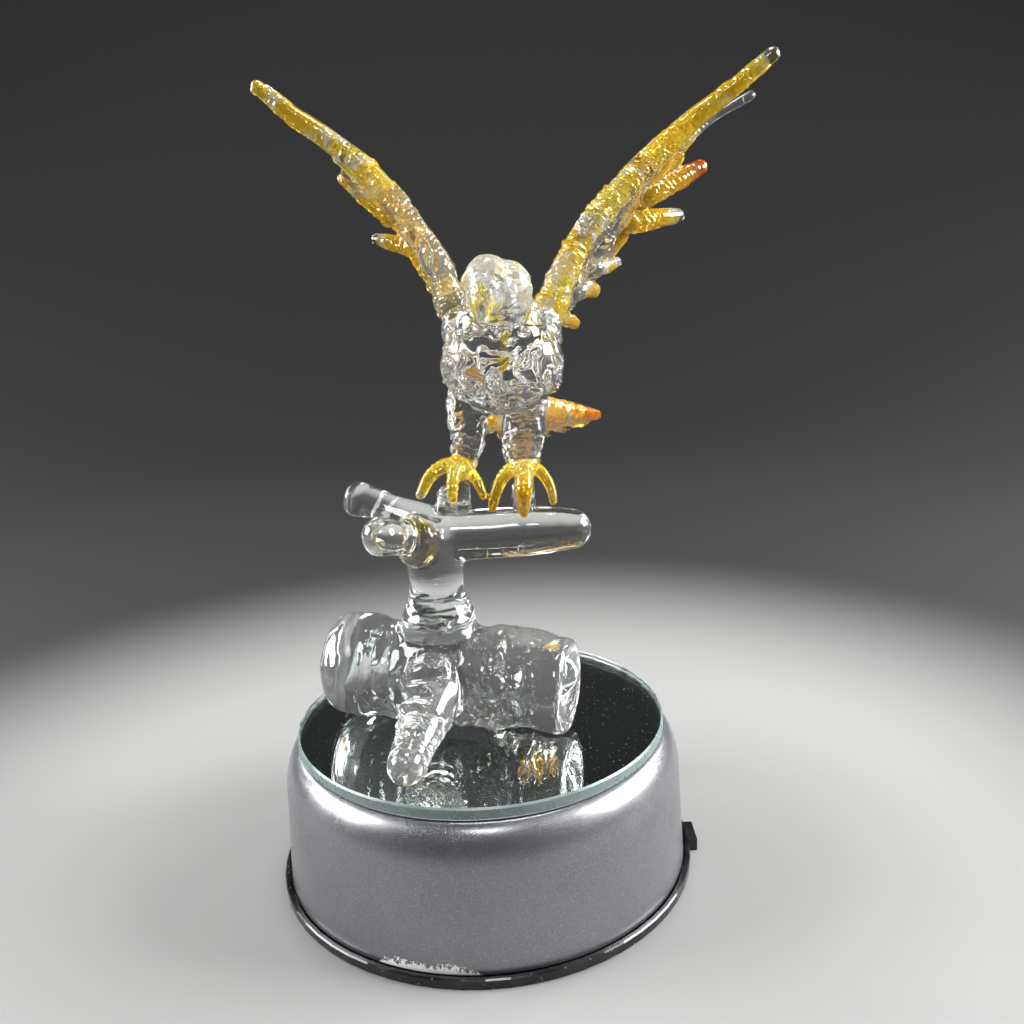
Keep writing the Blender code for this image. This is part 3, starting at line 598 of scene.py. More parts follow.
def read_skin(points, samples):
    """Skin blended from the nearest samples, and the run along the nearest rod, for each point."""
    blended = np.empty((len(points), samples.skins.shape[1]))
    run = np.empty(len(points))
    order = np.argsort(points[:, 2])
    for start in range(0, len(points), SAMPLE_CHUNK):
        chosen = order[start:start + SAMPLE_CHUNK]
        chunk = points[chosen]
        low, high = chunk[0, 2] - SAMPLE_REACH, chunk[-1, 2] + SAMPLE_REACH
        near = np.flatnonzero((samples.centers[:, 2] > low) & (samples.centers[:, 2] < high))
        centers = samples.centers[near]
        square = (chunk ** 2).sum(1)[:, None] + (centers ** 2).sum(1) - 2.0 * chunk @ centers.T
        depth = np.sqrt(np.maximum(square, 0.0)) - samples.radii[near]
        nearest = near[depth.argmin(1)]
        weight = np.exp((depth.min(1)[:, None] - depth) / SKIN_SOFTNESS)
        blended[chosen] = weight @ samples.skins[near] / weight.sum(1)[:, None]
        away = chunk - samples.centers[nearest]
        axis = samples.axes[nearest]
        slant = np.cross(axis, (0.0, 1.0, 0.0))
        run[chosen] = samples.runs[nearest] + (away * axis).sum(1) + RIDGE_SLANT * (away * slant).sum(1)
    return blended, run


def mesh_points(mesh):
    points = np.empty(len(mesh.vertices) * 3)
    mesh.vertices.foreach_get("co", points)
    return points.reshape(-1, 3)


def mesh_normals(mesh):
    normals = np.empty(len(mesh.vertices) * 3)
    mesh.vertices.foreach_get("normal", normals)
    return normals.reshape(-1, 3)


def column(skins, name):
    return skins[:, Skin._fields.index(name)]


def carve(mesh, skins, run, seed):
    """Push the glass out and in along its normals: wound ridges, swirls and uneven lumps."""
    points = mesh_points(mesh)
    pitch = np.maximum(column(skins, "pitch"), LEAST_PITCH)
    broad = np.clip((pitch - FINE_PITCH) / PITCH_BLEND, 0.0, 1.0)
    stray = 0.0
    patches = 0.0
    for winding, share in ((FINE_WINDING, 1.0 - broad), (BROAD_WINDING, broad)):
        stray += share * winding.stray * soft_noise(points / winding.stray_size, seed)
        patches += share * soft_noise(points / winding.patch_size, seed + 1)
    coils = np.sin(math.tau * run / pitch + stray)
    shown = np.clip((patches - PATCH_START) * PATCH_GAIN, PATCH_LEAST, 1.0)
    depth = column(skins, "ridge") * coils * shown
    depth += column(skins, "swirl") * (swirls(points, SWIRL_SIZE, SWIRL_TURNS) - SWIRL_SINK)
    depth += column(skins, "lump") * (soft_noise(points / LUMP_SIZE, seed + 2) * 2.0 - 1.0)
    points += mesh_normals(mesh) * depth[:, None]
    mesh.vertices.foreach_set("co", points.ravel())
    mesh.update()


def segment_distance(points, start, end):
    start, end = np.array(start), np.array(end)
    line = end - start
    share = np.clip((points - start) @ line / (line @ line), 0.0, 1.0)
    return np.linalg.norm(points - start - share[:, None] * line, axis=1)


def store(mesh, name, values):
    data = mesh.attributes.new(name, "FLOAT", "POINT").data
    data.foreach_set("value", values.astype(np.float32))


def paint(mesh, skins, run):
    """Store the tints, the run and the kinds of relief on the vertices. Returns the tints and frosting."""
    points = mesh_points(mesh)
    tints = {name: column(skins, name).copy() for name in ("yellow", "amber", "orange", "frost")}
    for start, end, width, tint in STREAKS:
        strength = np.clip(STREAK_CORE - segment_distance(points, start, end) / width, 0.0, 1.0)
        for name in ("yellow", "amber", "orange"):
            tints[name] = np.maximum(tints[name], strength * getattr(tint, name))
    for name, values in tints.items():
        store(mesh, name, values)
    store(mesh, "run", run)
    store(mesh, "thread", column(skins, "thread"))
    return tints


def add_object(name, data):
    thing = bpy.data.objects.new(name, data)
    bpy.context.scene.collection.objects.link(thing)
    return thing


def as_mesh(name, mesh_data):
    """A mesh from a bmesh, which is freed."""
    mesh = bpy.data.meshes.new(name)
    mesh_data.to_mesh(mesh)
    mesh_data.free()
    return mesh


def evaluated_mesh(thing):
    """A plain mesh of an object with its modifiers applied. The object is removed."""
    depsgraph = bpy.context.evaluated_depsgraph_get()
    mesh = bpy.data.meshes.new_from_object(thing.evaluated_get(depsgraph), depsgraph=depsgraph)
    bpy.data.objects.remove(thing, do_unlink=True)
    return mesh


def set_input(modifier, name, value):
    """Set a geometry nodes modifier's named input by its identifier."""
    for item in modifier.node_group.interface.items_tree:
        if item.item_type == "SOCKET" and item.in_out == "INPUT" and item.name == name:
            modifier[item.identifier] = value
            return
    raise RuntimeError(f"{modifier.node_group.name} has no input named {name}")


def new_geometry_tree(name, inputs):
    """A geometry nodes tree with named inputs, and its input and output nodes."""
    tree = bpy.data.node_groups.new(name, "GeometryNodeTree")
    tree.interface.new_socket("Geometry", in_out="INPUT", socket_type="NodeSocketGeometry")
    for label, kind in inputs:
        tree.interface.new_socket(label, in_out="INPUT", socket_type=kind)
    tree.interface.new_socket("Geometry", in_out="OUTPUT", socket_type="NodeSocketGeometry")
    return tree, tree.nodes.new("NodeGroupInput"), tree.nodes.new("NodeGroupOutput")


def finish_tree(tree, geometry, group_in, group_out):
    """End a tree in Realize Instances and Set Material."""
    realize = tree.nodes.new("GeometryNodeRealizeInstances")
    tree.links.new(geometry, realize.inputs["Geometry"])
    material = tree.nodes.new("GeometryNodeSetMaterial")
    tree.links.new(realize.outputs["Geometry"], material.inputs["Geometry"])
    tree.links.new(group_in.outputs["Material"], material.inputs["Material"])
    tree.links.new(material.outputs["Geometry"], group_out.inputs["Geometry"])


def drawn_rod_tree():
    """Round glass rods drawn along curves, as thick as each curve's radius."""
    tree, group_in, group_out = new_geometry_tree(
        "drawn_glass_rods", (("Sides", "NodeSocketInt"), ("Material", "NodeSocketMaterial")))
    circle = tree.nodes.new("GeometryNodeCurvePrimitiveCircle")
    circle.inputs["Radius"].default_value = 1.0
    tree.links.new(group_in.outputs["Sides"], circle.inputs["Resolution"])
    radius = tree.nodes.new("GeometryNodeInputRadius")
    sweep = tree.nodes.new("GeometryNodeCurveToMesh")
    sweep.inputs["Fill Caps"].default_value = True
    tree.links.new(group_in.outputs["Geometry"], sweep.inputs["Curve"])
    tree.links.new(circle.outputs["Curve"], sweep.inputs["Profile Curve"])
    tree.links.new(radius.outputs["Radius"], sweep.inputs["Scale"])
    finish_tree(tree, sweep.outputs["Mesh"], group_in, group_out)
    return tree


def rod_curve(name, rods):
    """One curve object with a spline for each rod, its ends rounded off by their radii."""
    curve = bpy.data.curves.new(name, "CURVE")
    curve.dimensions = "3D"
    for path, _, cap in rods:
        rows = [(row.xyz, row.w) for row in path]
        for at, behind in ((0, 1), (-1, -2)):
            center, radius = rows[at]
            outward = (center - rows[behind][0]).normalized()
            rounded = []
            for degrees in reversed(ROD_CAP_ANGLES):
                angle = math.radians(degrees)
                rounded.append((center + outward * radius * cap * math.sin(angle), radius * math.cos(angle)))
            rounded.append((center + outward * radius * cap, radius * ROD_TIP_SHARE))
            rows = rows + rounded if at else list(reversed(rounded)) + rows
        spline = curve.splines.new("POLY")
        spline.points.add(len(rows) - 1)
        for point, (center, radius) in zip(spline.points, rows):
            point.co = (*center, 1.0)
            point.radius = radius
    return add_object(name, curve)


def fill(tree, socket, value):
    """Link a socket from another, or set its value. A colour is given without its alpha."""
    if isinstance(value, bpy.types.NodeSocket):
        tree.links.new(value, socket)
    elif socket.type == "RGBA":
        socket.default_value = (*value, 1.0)
    else:
        socket.default_value = value


def shader_node(tree, kind, **inputs):
    """Add a node and fill its inputs by name, with _ for each space."""
    node = tree.nodes.new(kind)
    for name, value in inputs.items():
        fill(tree, node.inputs[name.replace("_", " ")], value)
    return node


def mix_colors(tree, factor, first, second):
    node = tree.nodes.new("ShaderNodeMix")
    node.data_type = "RGBA"
    for socket, value in zip((node.inputs[0], node.inputs[6], node.inputs[7]), (factor, first, second)):
        fill(tree, socket, value)
    return node.outputs[2]


def math_node(tree, operation, first, second=0.0):
    node = tree.nodes.new("ShaderNodeMath")
    node.operation = operation
    for socket, value in zip(node.inputs, (first, second)):
        fill(tree, socket, value)
    return node.outputs[0]


def map_range(tree, value, low, high, to_low=0.0, to_high=1.0):
    node = tree.nodes.new("ShaderNodeMapRange")
    node.interpolation_type = "SMOOTHSTEP"
    tree.links.new(value, node.inputs["Value"])
    for name, number in (("From Min", low), ("From Max", high), ("To Min", to_low), ("To Max", to_high)):
        node.inputs[name].default_value = number
    return node.outputs["Result"]


def noise(tree, coordinates, scale, detail=2.0, roughness=0.5, distortion=0.0):
    node = shader_node(tree, "ShaderNodeTexNoise", Vector=coordinates, Scale=scale, Detail=detail,
                       Roughness=roughness, Distortion=distortion)
    return node.outputs["Fac"]


def bump(tree, height, distance, strength):
    node = shader_node(tree, "ShaderNodeBump", Height=height, Distance=distance, Strength=strength)
    return node.outputs["Normal"]


def object_coordinates(tree):
    return tree.nodes.new("ShaderNodeTexCoord").outputs["Object"]


def attribute(tree, name):
    node = tree.nodes.new("ShaderNodeAttribute")
    node.attribute_name = name
    return node.outputs["Fac"]


def new_material(name):
    """An empty material, with its tree and its Principled shader."""
    material = bpy.data.materials.new(name)
    material.use_nodes = True
    tree = material.node_tree
    return material, tree, tree.nodes["Principled BSDF"]


def speck_group():
    """Node group: bright specks of one size, for sparkle in paint and for dust on black plastic.

    The cells are turned so that none of their rows lies flat on an upright or level face.
    """
    name = "fine_specks"
    if name in bpy.data.node_groups:
        return bpy.data.node_groups[name]
    tree = bpy.data.node_groups.new(name, "ShaderNodeTree")
    tree.interface.new_socket("Vector", in_out="INPUT", socket_type="NodeSocketVector")
    for label in ("Scale", "Share"):
        tree.interface.new_socket(label, in_out="INPUT", socket_type="NodeSocketFloat")
    tree.interface.new_socket("Mask", in_out="OUTPUT", socket_type="NodeSocketFloat")
    tree.interface.new_socket("Random", in_out="OUTPUT", socket_type="NodeSocketColor")
    group_in = tree.nodes.new("NodeGroupInput")
    group_out = tree.nodes.new("NodeGroupOutput")
    turned_cells = shader_node(tree, "ShaderNodeVectorRotate", Vector=group_in.outputs["Vector"])
    turned_cells.rotation_type = "EULER_XYZ"
    turned_cells.inputs["Rotation"].default_value = SPECK_TURN
    cells = shader_node(tree, "ShaderNodeTexVoronoi", Vector=turned_cells.outputs["Vector"],
                        Scale=group_in.outputs["Scale"])
    split = shader_node(tree, "ShaderNodeSeparateColor", Color=cells.outputs["Color"])
    chosen = math_node(tree, "LESS_THAN", split.outputs[0], group_in.outputs["Share"])
    near = map_range(tree, cells.outputs["Distance"], 0.45, 0.25)
    tree.links.new(math_node(tree, "MULTIPLY", chosen, near), group_out.inputs["Mask"])
    tree.links.new(cells.outputs["Color"], group_out.inputs["Random"])
    return tree


def specks(tree, coordinates, scale, share):
    node = tree.nodes.new("ShaderNodeGroup")
    node.node_tree = speck_group()
    tree.links.new(coordinates, node.inputs["Vector"])
    node.inputs["Scale"].default_value = scale
    node.inputs["Share"].default_value = share
    return node.outputs["Mask"], node.outputs["Random"]


def glass_look_group(glass):
    """Node group: the stored tints broken up as melted colour is, and the finest relief of the glass."""
    tree = bpy.data.node_groups.new("melted_glass_look", "ShaderNodeTree")
    for label, kind in (("Color", "NodeSocketColor"), ("Roughness", "NodeSocketFloat"),
                        ("Height", "NodeSocketFloat")):
        tree.interface.new_socket(label, in_out="OUTPUT", socket_type=kind)
    group_out = tree.nodes.new("NodeGroupOutput")
    where = object_coordinates(tree)

    color = tuple(glass.clear)
    blotches = noise(tree, where, 330.0, detail=3.0, roughness=0.55, distortion=0.6)
    uneven = math_node(tree, "MULTIPLY", math_node(tree, "SUBTRACT", blotches, 0.5), 2.0)
    for name, tint in (("yellow", glass.yellow), ("amber", glass.amber), ("orange", glass.orange)):
        strength = math_node(tree, "ADD", attribute(tree, name), uneven)
        present = map_range(tree, attribute(tree, name), 0.08, 0.3)
        factor = math_node(tree, "MULTIPLY", map_range(tree, strength, 0.08, 0.6), present)
        color = mix_colors(tree, factor, color, tuple(tint))
    tree.links.new(color, group_out.inputs["Color"])

    smear = noise(tree, where, 160.0, detail=3.0)
    tree.links.new(map_range(tree, smear, 0.45, 0.8, 0.0, 0.05), group_out.inputs["Roughness"])

    turns = math_node(tree, "MULTIPLY", attribute(tree, "run"), math.tau / glass.thread)
    wander = math_node(tree, "MULTIPLY", noise(tree, where, 300.0), 9.0)
    threads = math_node(tree, "SINE", math_node(tree, "ADD", turns, wander))
    threads = math_node(tree, "MULTIPLY", threads, 0.6)
    threads = math_node(tree, "MULTIPLY", threads, attribute(tree, "thread"))
    crinkles = math_node(tree, "MULTIPLY", noise(tree, where, 950.0, detail=1.0, distortion=0.8), 2.4)
    crinkles = math_node(tree, "MULTIPLY", crinkles, attribute(tree, "thread"))
    waves = math_node(tree, "MULTIPLY", noise(tree, where, 200.0, detail=1.0), 0.8)
    relief = math_node(tree, "ADD", math_node(tree, "ADD", threads, crinkles), waves)
    tree.links.new(relief, group_out.inputs["Height"])
    return tree


def glass_material(look, name, transmission, least_rough):
    """Glass of the shared look. The finishes differ in what they let through and in how rough they are."""
    material, tree, shader = new_material(name)
    shader.inputs["Transmission Weight"].default_value = transmission
    shader.inputs["IOR"].default_value = FIGURE_IOR
    group = tree.nodes.new("ShaderNodeGroup")
    group.node_tree = look
    tree.links.new(group.outputs["Color"], shader.inputs["Base Color"])
    rough = math_node(tree, "ADD", group.outputs["Roughness"], least_rough)
    tree.links.new(rough, shader.inputs["Roughness"])
    tree.links.new(bump(tree, group.outputs["Height"], 0.00006, 1.0), shader.inputs["Normal"])
    return material


def lump(mesh_data, center, radii):
    place = Matrix.Translation(Vector(center)) @ Matrix.Diagonal((*radii, 1.0))
    bmesh.ops.create_uvsphere(
        mesh_data, u_segments=LUMP_SEGMENTS, v_segments=LUMP_RINGS, radius=1.0, matrix=place)


def rods_mesh(rods, material):
    """Start a bmesh from drawn rods."""
    curve = rod_curve("glass_rods", rods)
    sweep = curve.modifiers.new("draw", "NODES")
    sweep.node_group = drawn_rod_tree()
    set_input(sweep, "Sides", ROD_SIDES)
    set_input(sweep, "Material", material)
    mesh_data = bmesh.new()
    mesh_data.from_mesh(evaluated_mesh(curve))
    return mesh_data


def add_perch_shapes(mesh_data):
    """The turned log and post, and the log's swelling."""
    lump(mesh_data, *LOG_SWELLING)
    turned(mesh_data, LOG.profile, LOG_SIDES, along(LOG.start, LOG.end))
    turned(mesh_data, POST.profile, POST_SIDES, along(POST.start, POST.end))


def add_eagle_shapes(mesh_data):
    for center, radii, _ in LUMPS:
        lump(mesh_data, center, radii)


def softened(mesh, iterations):
    """The mesh with its creases smoothed out."""
    blank = add_object(mesh.name, mesh)
    soften = blank.modifiers.new("soften", "SMOOTH")
    soften.factor = 0.5
    soften.iterations = iterations
    return evaluated_mesh(blank)


def melted(name, mesh_data, grain):
    """Overlapping shapes melted into one closed skin of triangles. Frees the bmesh."""
    bmesh.ops.recalc_face_normals(mesh_data, faces=mesh_data.faces)
    blank = add_object(name, as_mesh(name, mesh_data))
    melt = blank.modifiers.new("melt", "REMESH")
    melt.mode = "VOXEL"
    melt.voxel_size = grain
    triangulate = blank.modifiers.new("triangulate", "TRIANGULATE")
    triangulate.quad_method = "SHORTEST_DIAGONAL"
    return softened(evaluated_mesh(blank), SOFTENING)


def fused(first, second):
    """One closed mesh of two that overlap."""
    target = add_object("fused_glass", first)
    other = add_object("fused_with", second)
    union = target.modifiers.new("fuse", "BOOLEAN")
    union.operation = "UNION"
    union.solver = "MANIFOLD"
    union.object = other
    mesh = evaluated_mesh(target)
    bpy.data.objects.remove(other, do_unlink=True)
    mesh_data = bmesh.new()
    mesh_data.from_mesh(mesh)
    bmesh.ops.triangulate(mesh_data, faces=mesh_data.faces)
    mesh_data.to_mesh(mesh)
    mesh_data.free()
    return mesh


def thinned(mesh, most_faces):
    """The mesh with faces taken out where it is flattest, down to a number of faces."""
    if len(mesh.polygons) <= most_faces:
        return mesh
    blank = add_object(mesh.name, mesh)
    thin = blank.modifiers.new("thin", "DECIMATE")
    thin.ratio = most_faces / len(mesh.polygons)
    return evaluated_mesh(blank)


class GlassSettings(bpy.types.PropertyGroup):
    """The glass figure's grain, carving and colours."""

    eagle_grain: FloatProperty(
        name="Eagle grain", description="Size of the cells the eagle is melted at, in parts",
        default=0.40, min=0.3, max=1.5)
    perch_grain: FloatProperty(
        name="Perch grain", description="Size of the cells the perch is melted at, in parts",
        default=0.66, min=0.3, max=2.0)
    most_faces: IntProperty(
        name="Most faces", description="Most faces that the figure may keep",
        default=192000, min=1000)
    seed: IntProperty(
        name="Seed", description="Seed of the uneven carving",
        default=5, min=0)
    thread: FloatProperty(
        name="Thread", description="Spacing of the fine threads wound round the rods, in parts",
        default=1.25, min=0.1, max=5.0)
    clear: FloatVectorProperty(
        name="Clear", description="Colour of the clear glass",
        default=(0.88, 0.89, 0.885), subtype="COLOR", size=3, min=0.0, max=1.0)
    yellow: FloatVectorProperty(
        name="Yellow", description="Colour of the feet, bill and bright streaks",
        default=(1.0, 0.77, 0.06), subtype="COLOR", size=3, min=0.0, max=1.0)
    amber: FloatVectorProperty(
        name="Amber", description="Colour of the wings and feathers",
        default=(0.96, 0.63, 0.03), subtype="COLOR", size=3, min=0.0, max=1.0)
    orange: FloatVectorProperty(
        name="Orange", description="Colour of the tail and one feather tip",
        default=(0.80, 0.20, 0.02), subtype="COLOR", size=3, min=0.0, max=1.0)


class BaseSettings(bpy.types.PropertyGroup):
    """The turntable's finishes."""

    silver: FloatVectorProperty(
        name="Silver", description="Colour of the drum's metallic paint",
        default=(0.255, 0.257, 0.275), subtype="COLOR", size=3, min=0.0, max=1.0)
    edge_tint: FloatVectorProperty(
        name="Edge tint", description="Colour of the mirror glass seen at its edge",
        default=(0.34, 0.46, 0.445), subtype="COLOR", size=3, min=0.0, max=1.0)
    silvering: FloatProperty(
        name="Silvering", description="Thickness of the mirror's backing",
        default=0.00025, min=0.0, subtype="DISTANCE", unit="LENGTH")
    dust: FloatProperty(
        name="Dust", description="Specks of dust on each square metre of the mirror",
        default=110000.0, min=0.0)
    chip_height: FloatProperty(
        name="Chip height", description="How far the chips reach up the drum's lower edge",
        default=0.0014, min=0.0, subtype="DISTANCE", unit="LENGTH")
    sides: IntProperty(
        name="Sides", description="How finely the drum and mirror are turned",
        default=192, min=24, max=512)


class StageSettings(bpy.types.PropertyGroup):
    """The studio round the part."""

    floor: FloatVectorProperty(
        name="Floor", description="Colour of the floor",
        default=(0.225, 0.225, 0.222), subtype="COLOR", size=3, min=0.0, max=1.0)
    backdrop: FloatVectorProperty(
        name="Backdrop", description="Colour of the backdrop above the floor",
        default=(0.0075, 0.0075, 0.008), subtype="COLOR", size=3, min=0.0, max=1.0)
    pale_radius: FloatProperty(
        name="Pale radius", description="How far the floor stays pale",
        default=0.11, min=0.0, subtype="DISTANCE", unit="LENGTH")
    dark_radius: FloatProperty(
        name="Dark radius", description="Where the backdrop's colour is reached",
        default=0.25, min=0.0, subtype="DISTANCE", unit="LENGTH")
    key_power: FloatProperty(
        name="Key power", description="Power in watts that the lights are shares of",
        default=4.0, min=0.0)


def place_parts(mesh):
    """Take a mesh in parts to its place on the mirror, in metres."""
    mesh.transform(Matrix.Translation((0.0, 0.0, FIGURE_BASE)) @ Matrix.Scale(PART, 4))


class EAGLE_OT_figure(bpy.types.Operator):
    """Make the fused glass figure: perch, eagle, wings and feet"""

    bl_idname = "eagle.figure"
    bl_label = "Glass figure"

    def execute(self, context):
        glass = context.scene.eagle_glass
        look = glass_look_group(glass)
        finishes = [glass_material(look, *finish) for finish in FINISHES]
        on_perch, on_eagle = read_rods(PERCH_RODS) + log_folds(), eagle_rods()
        samples = gather_samples(on_perch + on_eagle)
        shapes = []
        for name, rods, add_shapes, grain, smoothing in (
            ("perch", on_perch, add_perch_shapes, glass.perch_grain, PERCH_SMOOTHING),
            ("eagle", on_eagle, add_eagle_shapes, glass.eagle_grain, EAGLE_SMOOTHING),
        ):
            mesh_data = rods_mesh(rods, finishes[CLEAR_SLOT])
            add_shapes(mesh_data)
            mesh = melted(name, mesh_data, grain)
            skins, run = read_skin(mesh_points(mesh), samples)
            carve(mesh, skins, run, glass.seed)
            shapes.append(softened(mesh, smoothing))
        mesh = thinned(fused(*shapes), glass.most_faces)
        skins, run = read_skin(mesh_points(mesh), samples)
        tints = paint(mesh, skins, run)
        mesh.materials.clear()
        for material in finishes:
            mesh.materials.append(material)
        corners = np.empty(len(mesh.polygons) * 3, dtype=np.int32)
        mesh.polygons.foreach_get("vertices", corners)
        corners = corners.reshape(-1, 3)
        tint = (tints["yellow"] + tints["amber"] + tints["orange"])[corners].mean(1)
        frost = tints["frost"][corners].mean(1)
        kinds = [frost > FROSTED_FROM, tint > TINTED_FROM, frost > SILVERY_FROM]
        slots = np.select(kinds, [FROSTED_SLOT, TINTED_SLOT, SILVERY_SLOT], CLEAR_SLOT)
        mesh.polygons.foreach_set("material_index", slots.astype(np.int32))
        place_parts(mesh)
        mesh.shade_smooth()
        figure = add_object("figure_glass", mesh)
        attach(figure, TURNING_BODY)
        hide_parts("glass_eagle")
        return {"FINISHED"}


def turned_piece(name, profile, sides):
    """A turned closed piece from a profile of (height, radius) in metres."""
    mesh_data = bmesh.new()
    turned(mesh_data, profile, sides)
    bmesh.ops.recalc_face_normals(mesh_data, faces=mesh_data.faces)
    mesh = as_mesh(name, mesh_data)
    mesh.shade_smooth()
    mesh.set_sharp_from_angle(angle=SHARP_ANGLE)
    return add_object(name, mesh)


def arc(center_height, center_radius, rounding, start, end, steps):
    """Points of (height, radius) along a rounded corner, angles in degrees up from the horizontal."""
    points = []
    for i in range(steps + 1):
        angle = math.radians(start + (end - start) * i / steps)
        height = center_height + rounding * math.sin(angle)
        points.append((height, center_radius + rounding * math.cos(angle)))
    return points


def chipped_edge(tree, where, base):
    """Mask of the ragged bare plastic along the front of the drum's lower edge."""
    split = shader_node(tree, "ShaderNodeSeparateXYZ", Vector=where)
    toward_front = math_node(tree, "MULTIPLY", split.outputs["Y"], -1.0)
    angle = math_node(tree, "ARCTAN2", split.outputs["X"], toward_front)
    height = math_node(tree, "SUBTRACT", split.outputs["Z"], DRUM_LOW.z)
    ragged = map_range(tree, noise(tree, where, 700.0, detail=4.0, roughness=0.8), 0.38, 0.62, 0.1, 1.5)
    broad = noise(tree, where, 130.0, detail=1.0)
    reach = math_node(tree, "MULTIPLY", math_node(tree, "ADD", ragged, broad), base.chip_height)
    begin = map_range(tree, angle, *CHIPS_BEGIN)
    stop = map_range(tree, angle, *CHIPS_STOP)
    reach = math_node(tree, "MULTIPLY", reach, math_node(tree, "MULTIPLY", begin, stop))
    above = math_node(tree, "SUBTRACT", height, reach)
    return map_range(tree, above, 0.0, -CHIP_SOFTNESS)


def silver_paint_material(base):
    material, tree, shader = new_material("silver_sparkle_paint")
    where = object_coordinates(tree)
    flakes, random = specks(tree, where, 7000.0, 0.30)
    cloud = noise(tree, where, 60.0, detail=3.0)
    silver = Vector(base.silver)
    color = mix_colors(tree, map_range(tree, cloud, 0.3, 0.7), tuple(silver * 0.94), tuple(silver * 1.05))
    color = mix_colors(tree, math_node(tree, "MULTIPLY", flakes, 0.55), color, (0.86, 0.88, 0.92))
    chipped = chipped_edge(tree, where, base)
    color = mix_colors(tree, chipped, color, (0.92, 0.92, 0.90))
    tree.links.new(color, shader.inputs["Base Color"])
    metal = math_node(tree, "SUBTRACT", 1.0, chipped)
    tree.links.new(math_node(tree, "MULTIPLY", metal, 0.78), shader.inputs["Metallic"])
    rough = map_range(tree, cloud, 0.3, 0.7, 0.25, 0.31)
    tree.links.new(rough, shader.inputs["Roughness"])
    tilt = tree.nodes.new("ShaderNodeSeparateColor")
    tree.links.new(random, tilt.inputs["Color"])
    tree.links.new(bump(tree, tilt.outputs[1], 0.00003, 0.35), shader.inputs["Normal"])
    return material


class EAGLE_OT_drum(bpy.types.Operator):
    """Make the silver drum with its soft shoulder and the chipped paint on its lower edge"""

    bl_idname = "eagle.drum"
    bl_label = "Silver drum"

    def execute(self, context):
        base = context.scene.eagle_base
        taper = 0.0010
        top_radius = DRUM_RADIUS - taper
        shoulder_drop, shoulder_reach = 0.0105, 0.0050
        shoulder_steps, side_rows, edge_steps = 16, 24, 6
        wall = 0.0020
        roof = 0.0024
        edge = 0.0006
        low, high = DRUM_LOW.z, DRUM_HIGH.z
        profile = [(high, radius) for radius in (0.0, 0.015, 0.030, 0.041)]
        for i in range(shoulder_steps + 1):
            angle = math.radians(90.0 * (1.0 - i / shoulder_steps))
            profile.append((high - shoulder_drop * (1.0 - math.sin(angle)),
                            top_radius - shoulder_reach * (1.0 - math.cos(angle))))
        start, end = high - shoulder_drop, low + edge
        for i in range(1, side_rows):
            share = i / side_rows
            height = start + (end - start) * share
            profile.append((height, top_radius + (DRUM_RADIUS - top_radius) * share))
        profile += [
            *arc(low + edge, DRUM_RADIUS - edge, edge, 0.0, -90.0, edge_steps),
            (low, DRUM_RADIUS - wall),
            (high - roof, top_radius - wall),
            (high - roof, 0.0),
        ]
        drum = turned_piece("drum_shell", profile, base.sides)
        drum.data.materials.append(silver_paint_material(base))
        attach(drum, TURNING_BODY)
        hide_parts("turntable_drum")
        return {"FINISHED"}


def mirror_face_material():
    material, tree, shader = new_material("mirror_glass_face")
    shader.inputs["Transmission Weight"].default_value = 1.0
    shader.inputs["IOR"].default_value = PLATE_IOR
    where = object_coordinates(tree)
    smear = noise(tree, where, 45.0, detail=5.0, roughness=0.6)
    color = mix_colors(tree, map_range(tree, smear, 0.3, 0.7), (0.97, 0.99, 0.98), (0.94, 0.97, 0.96))
    tree.links.new(color, shader.inputs["Base Color"])
    tree.links.new(map_range(tree, smear, 0.45, 0.75, 0.0, 0.035), shader.inputs["Roughness"])
    return material


def mirror_edge_material(base):
    material, tree, shader = new_material("mirror_ground_edge")
    shader.inputs["Transmission Weight"].default_value = 0.55
    shader.inputs["IOR"].default_value = PLATE_IOR
    where = object_coordinates(tree)
    grain = noise(tree, where, 300.0, detail=2.0)
    tint = Vector(base.edge_tint)
    color = mix_colors(tree, map_range(tree, grain, 0.3, 0.7), tuple(tint * 0.97), tuple(tint * 1.03))
    tree.links.new(color, shader.inputs["Base Color"])
    tree.links.new(map_range(tree, grain, 0.3, 0.7, 0.22, 0.38), shader.inputs["Roughness"])
    tree.links.new(bump(tree, grain, 0.00002, 0.4), shader.inputs["Normal"])
    return material


def silvering_material():
    material, tree, shader = new_material("mirror_silvering")
    shader.inputs["Metallic"].default_value = 1.0
    where = object_coordinates(tree)
    cloud = noise(tree, where, 30.0, detail=3.0)
    color = mix_colors(tree, map_range(tree, cloud, 0.3, 0.7), (0.84, 0.87, 0.86), (0.80, 0.84, 0.83))
    tree.links.new(color, shader.inputs["Base Color"])
    tree.links.new(map_range(tree, cloud, 0.3, 0.7, 0.0, 0.012), shader.inputs["Roughness"])
    return material


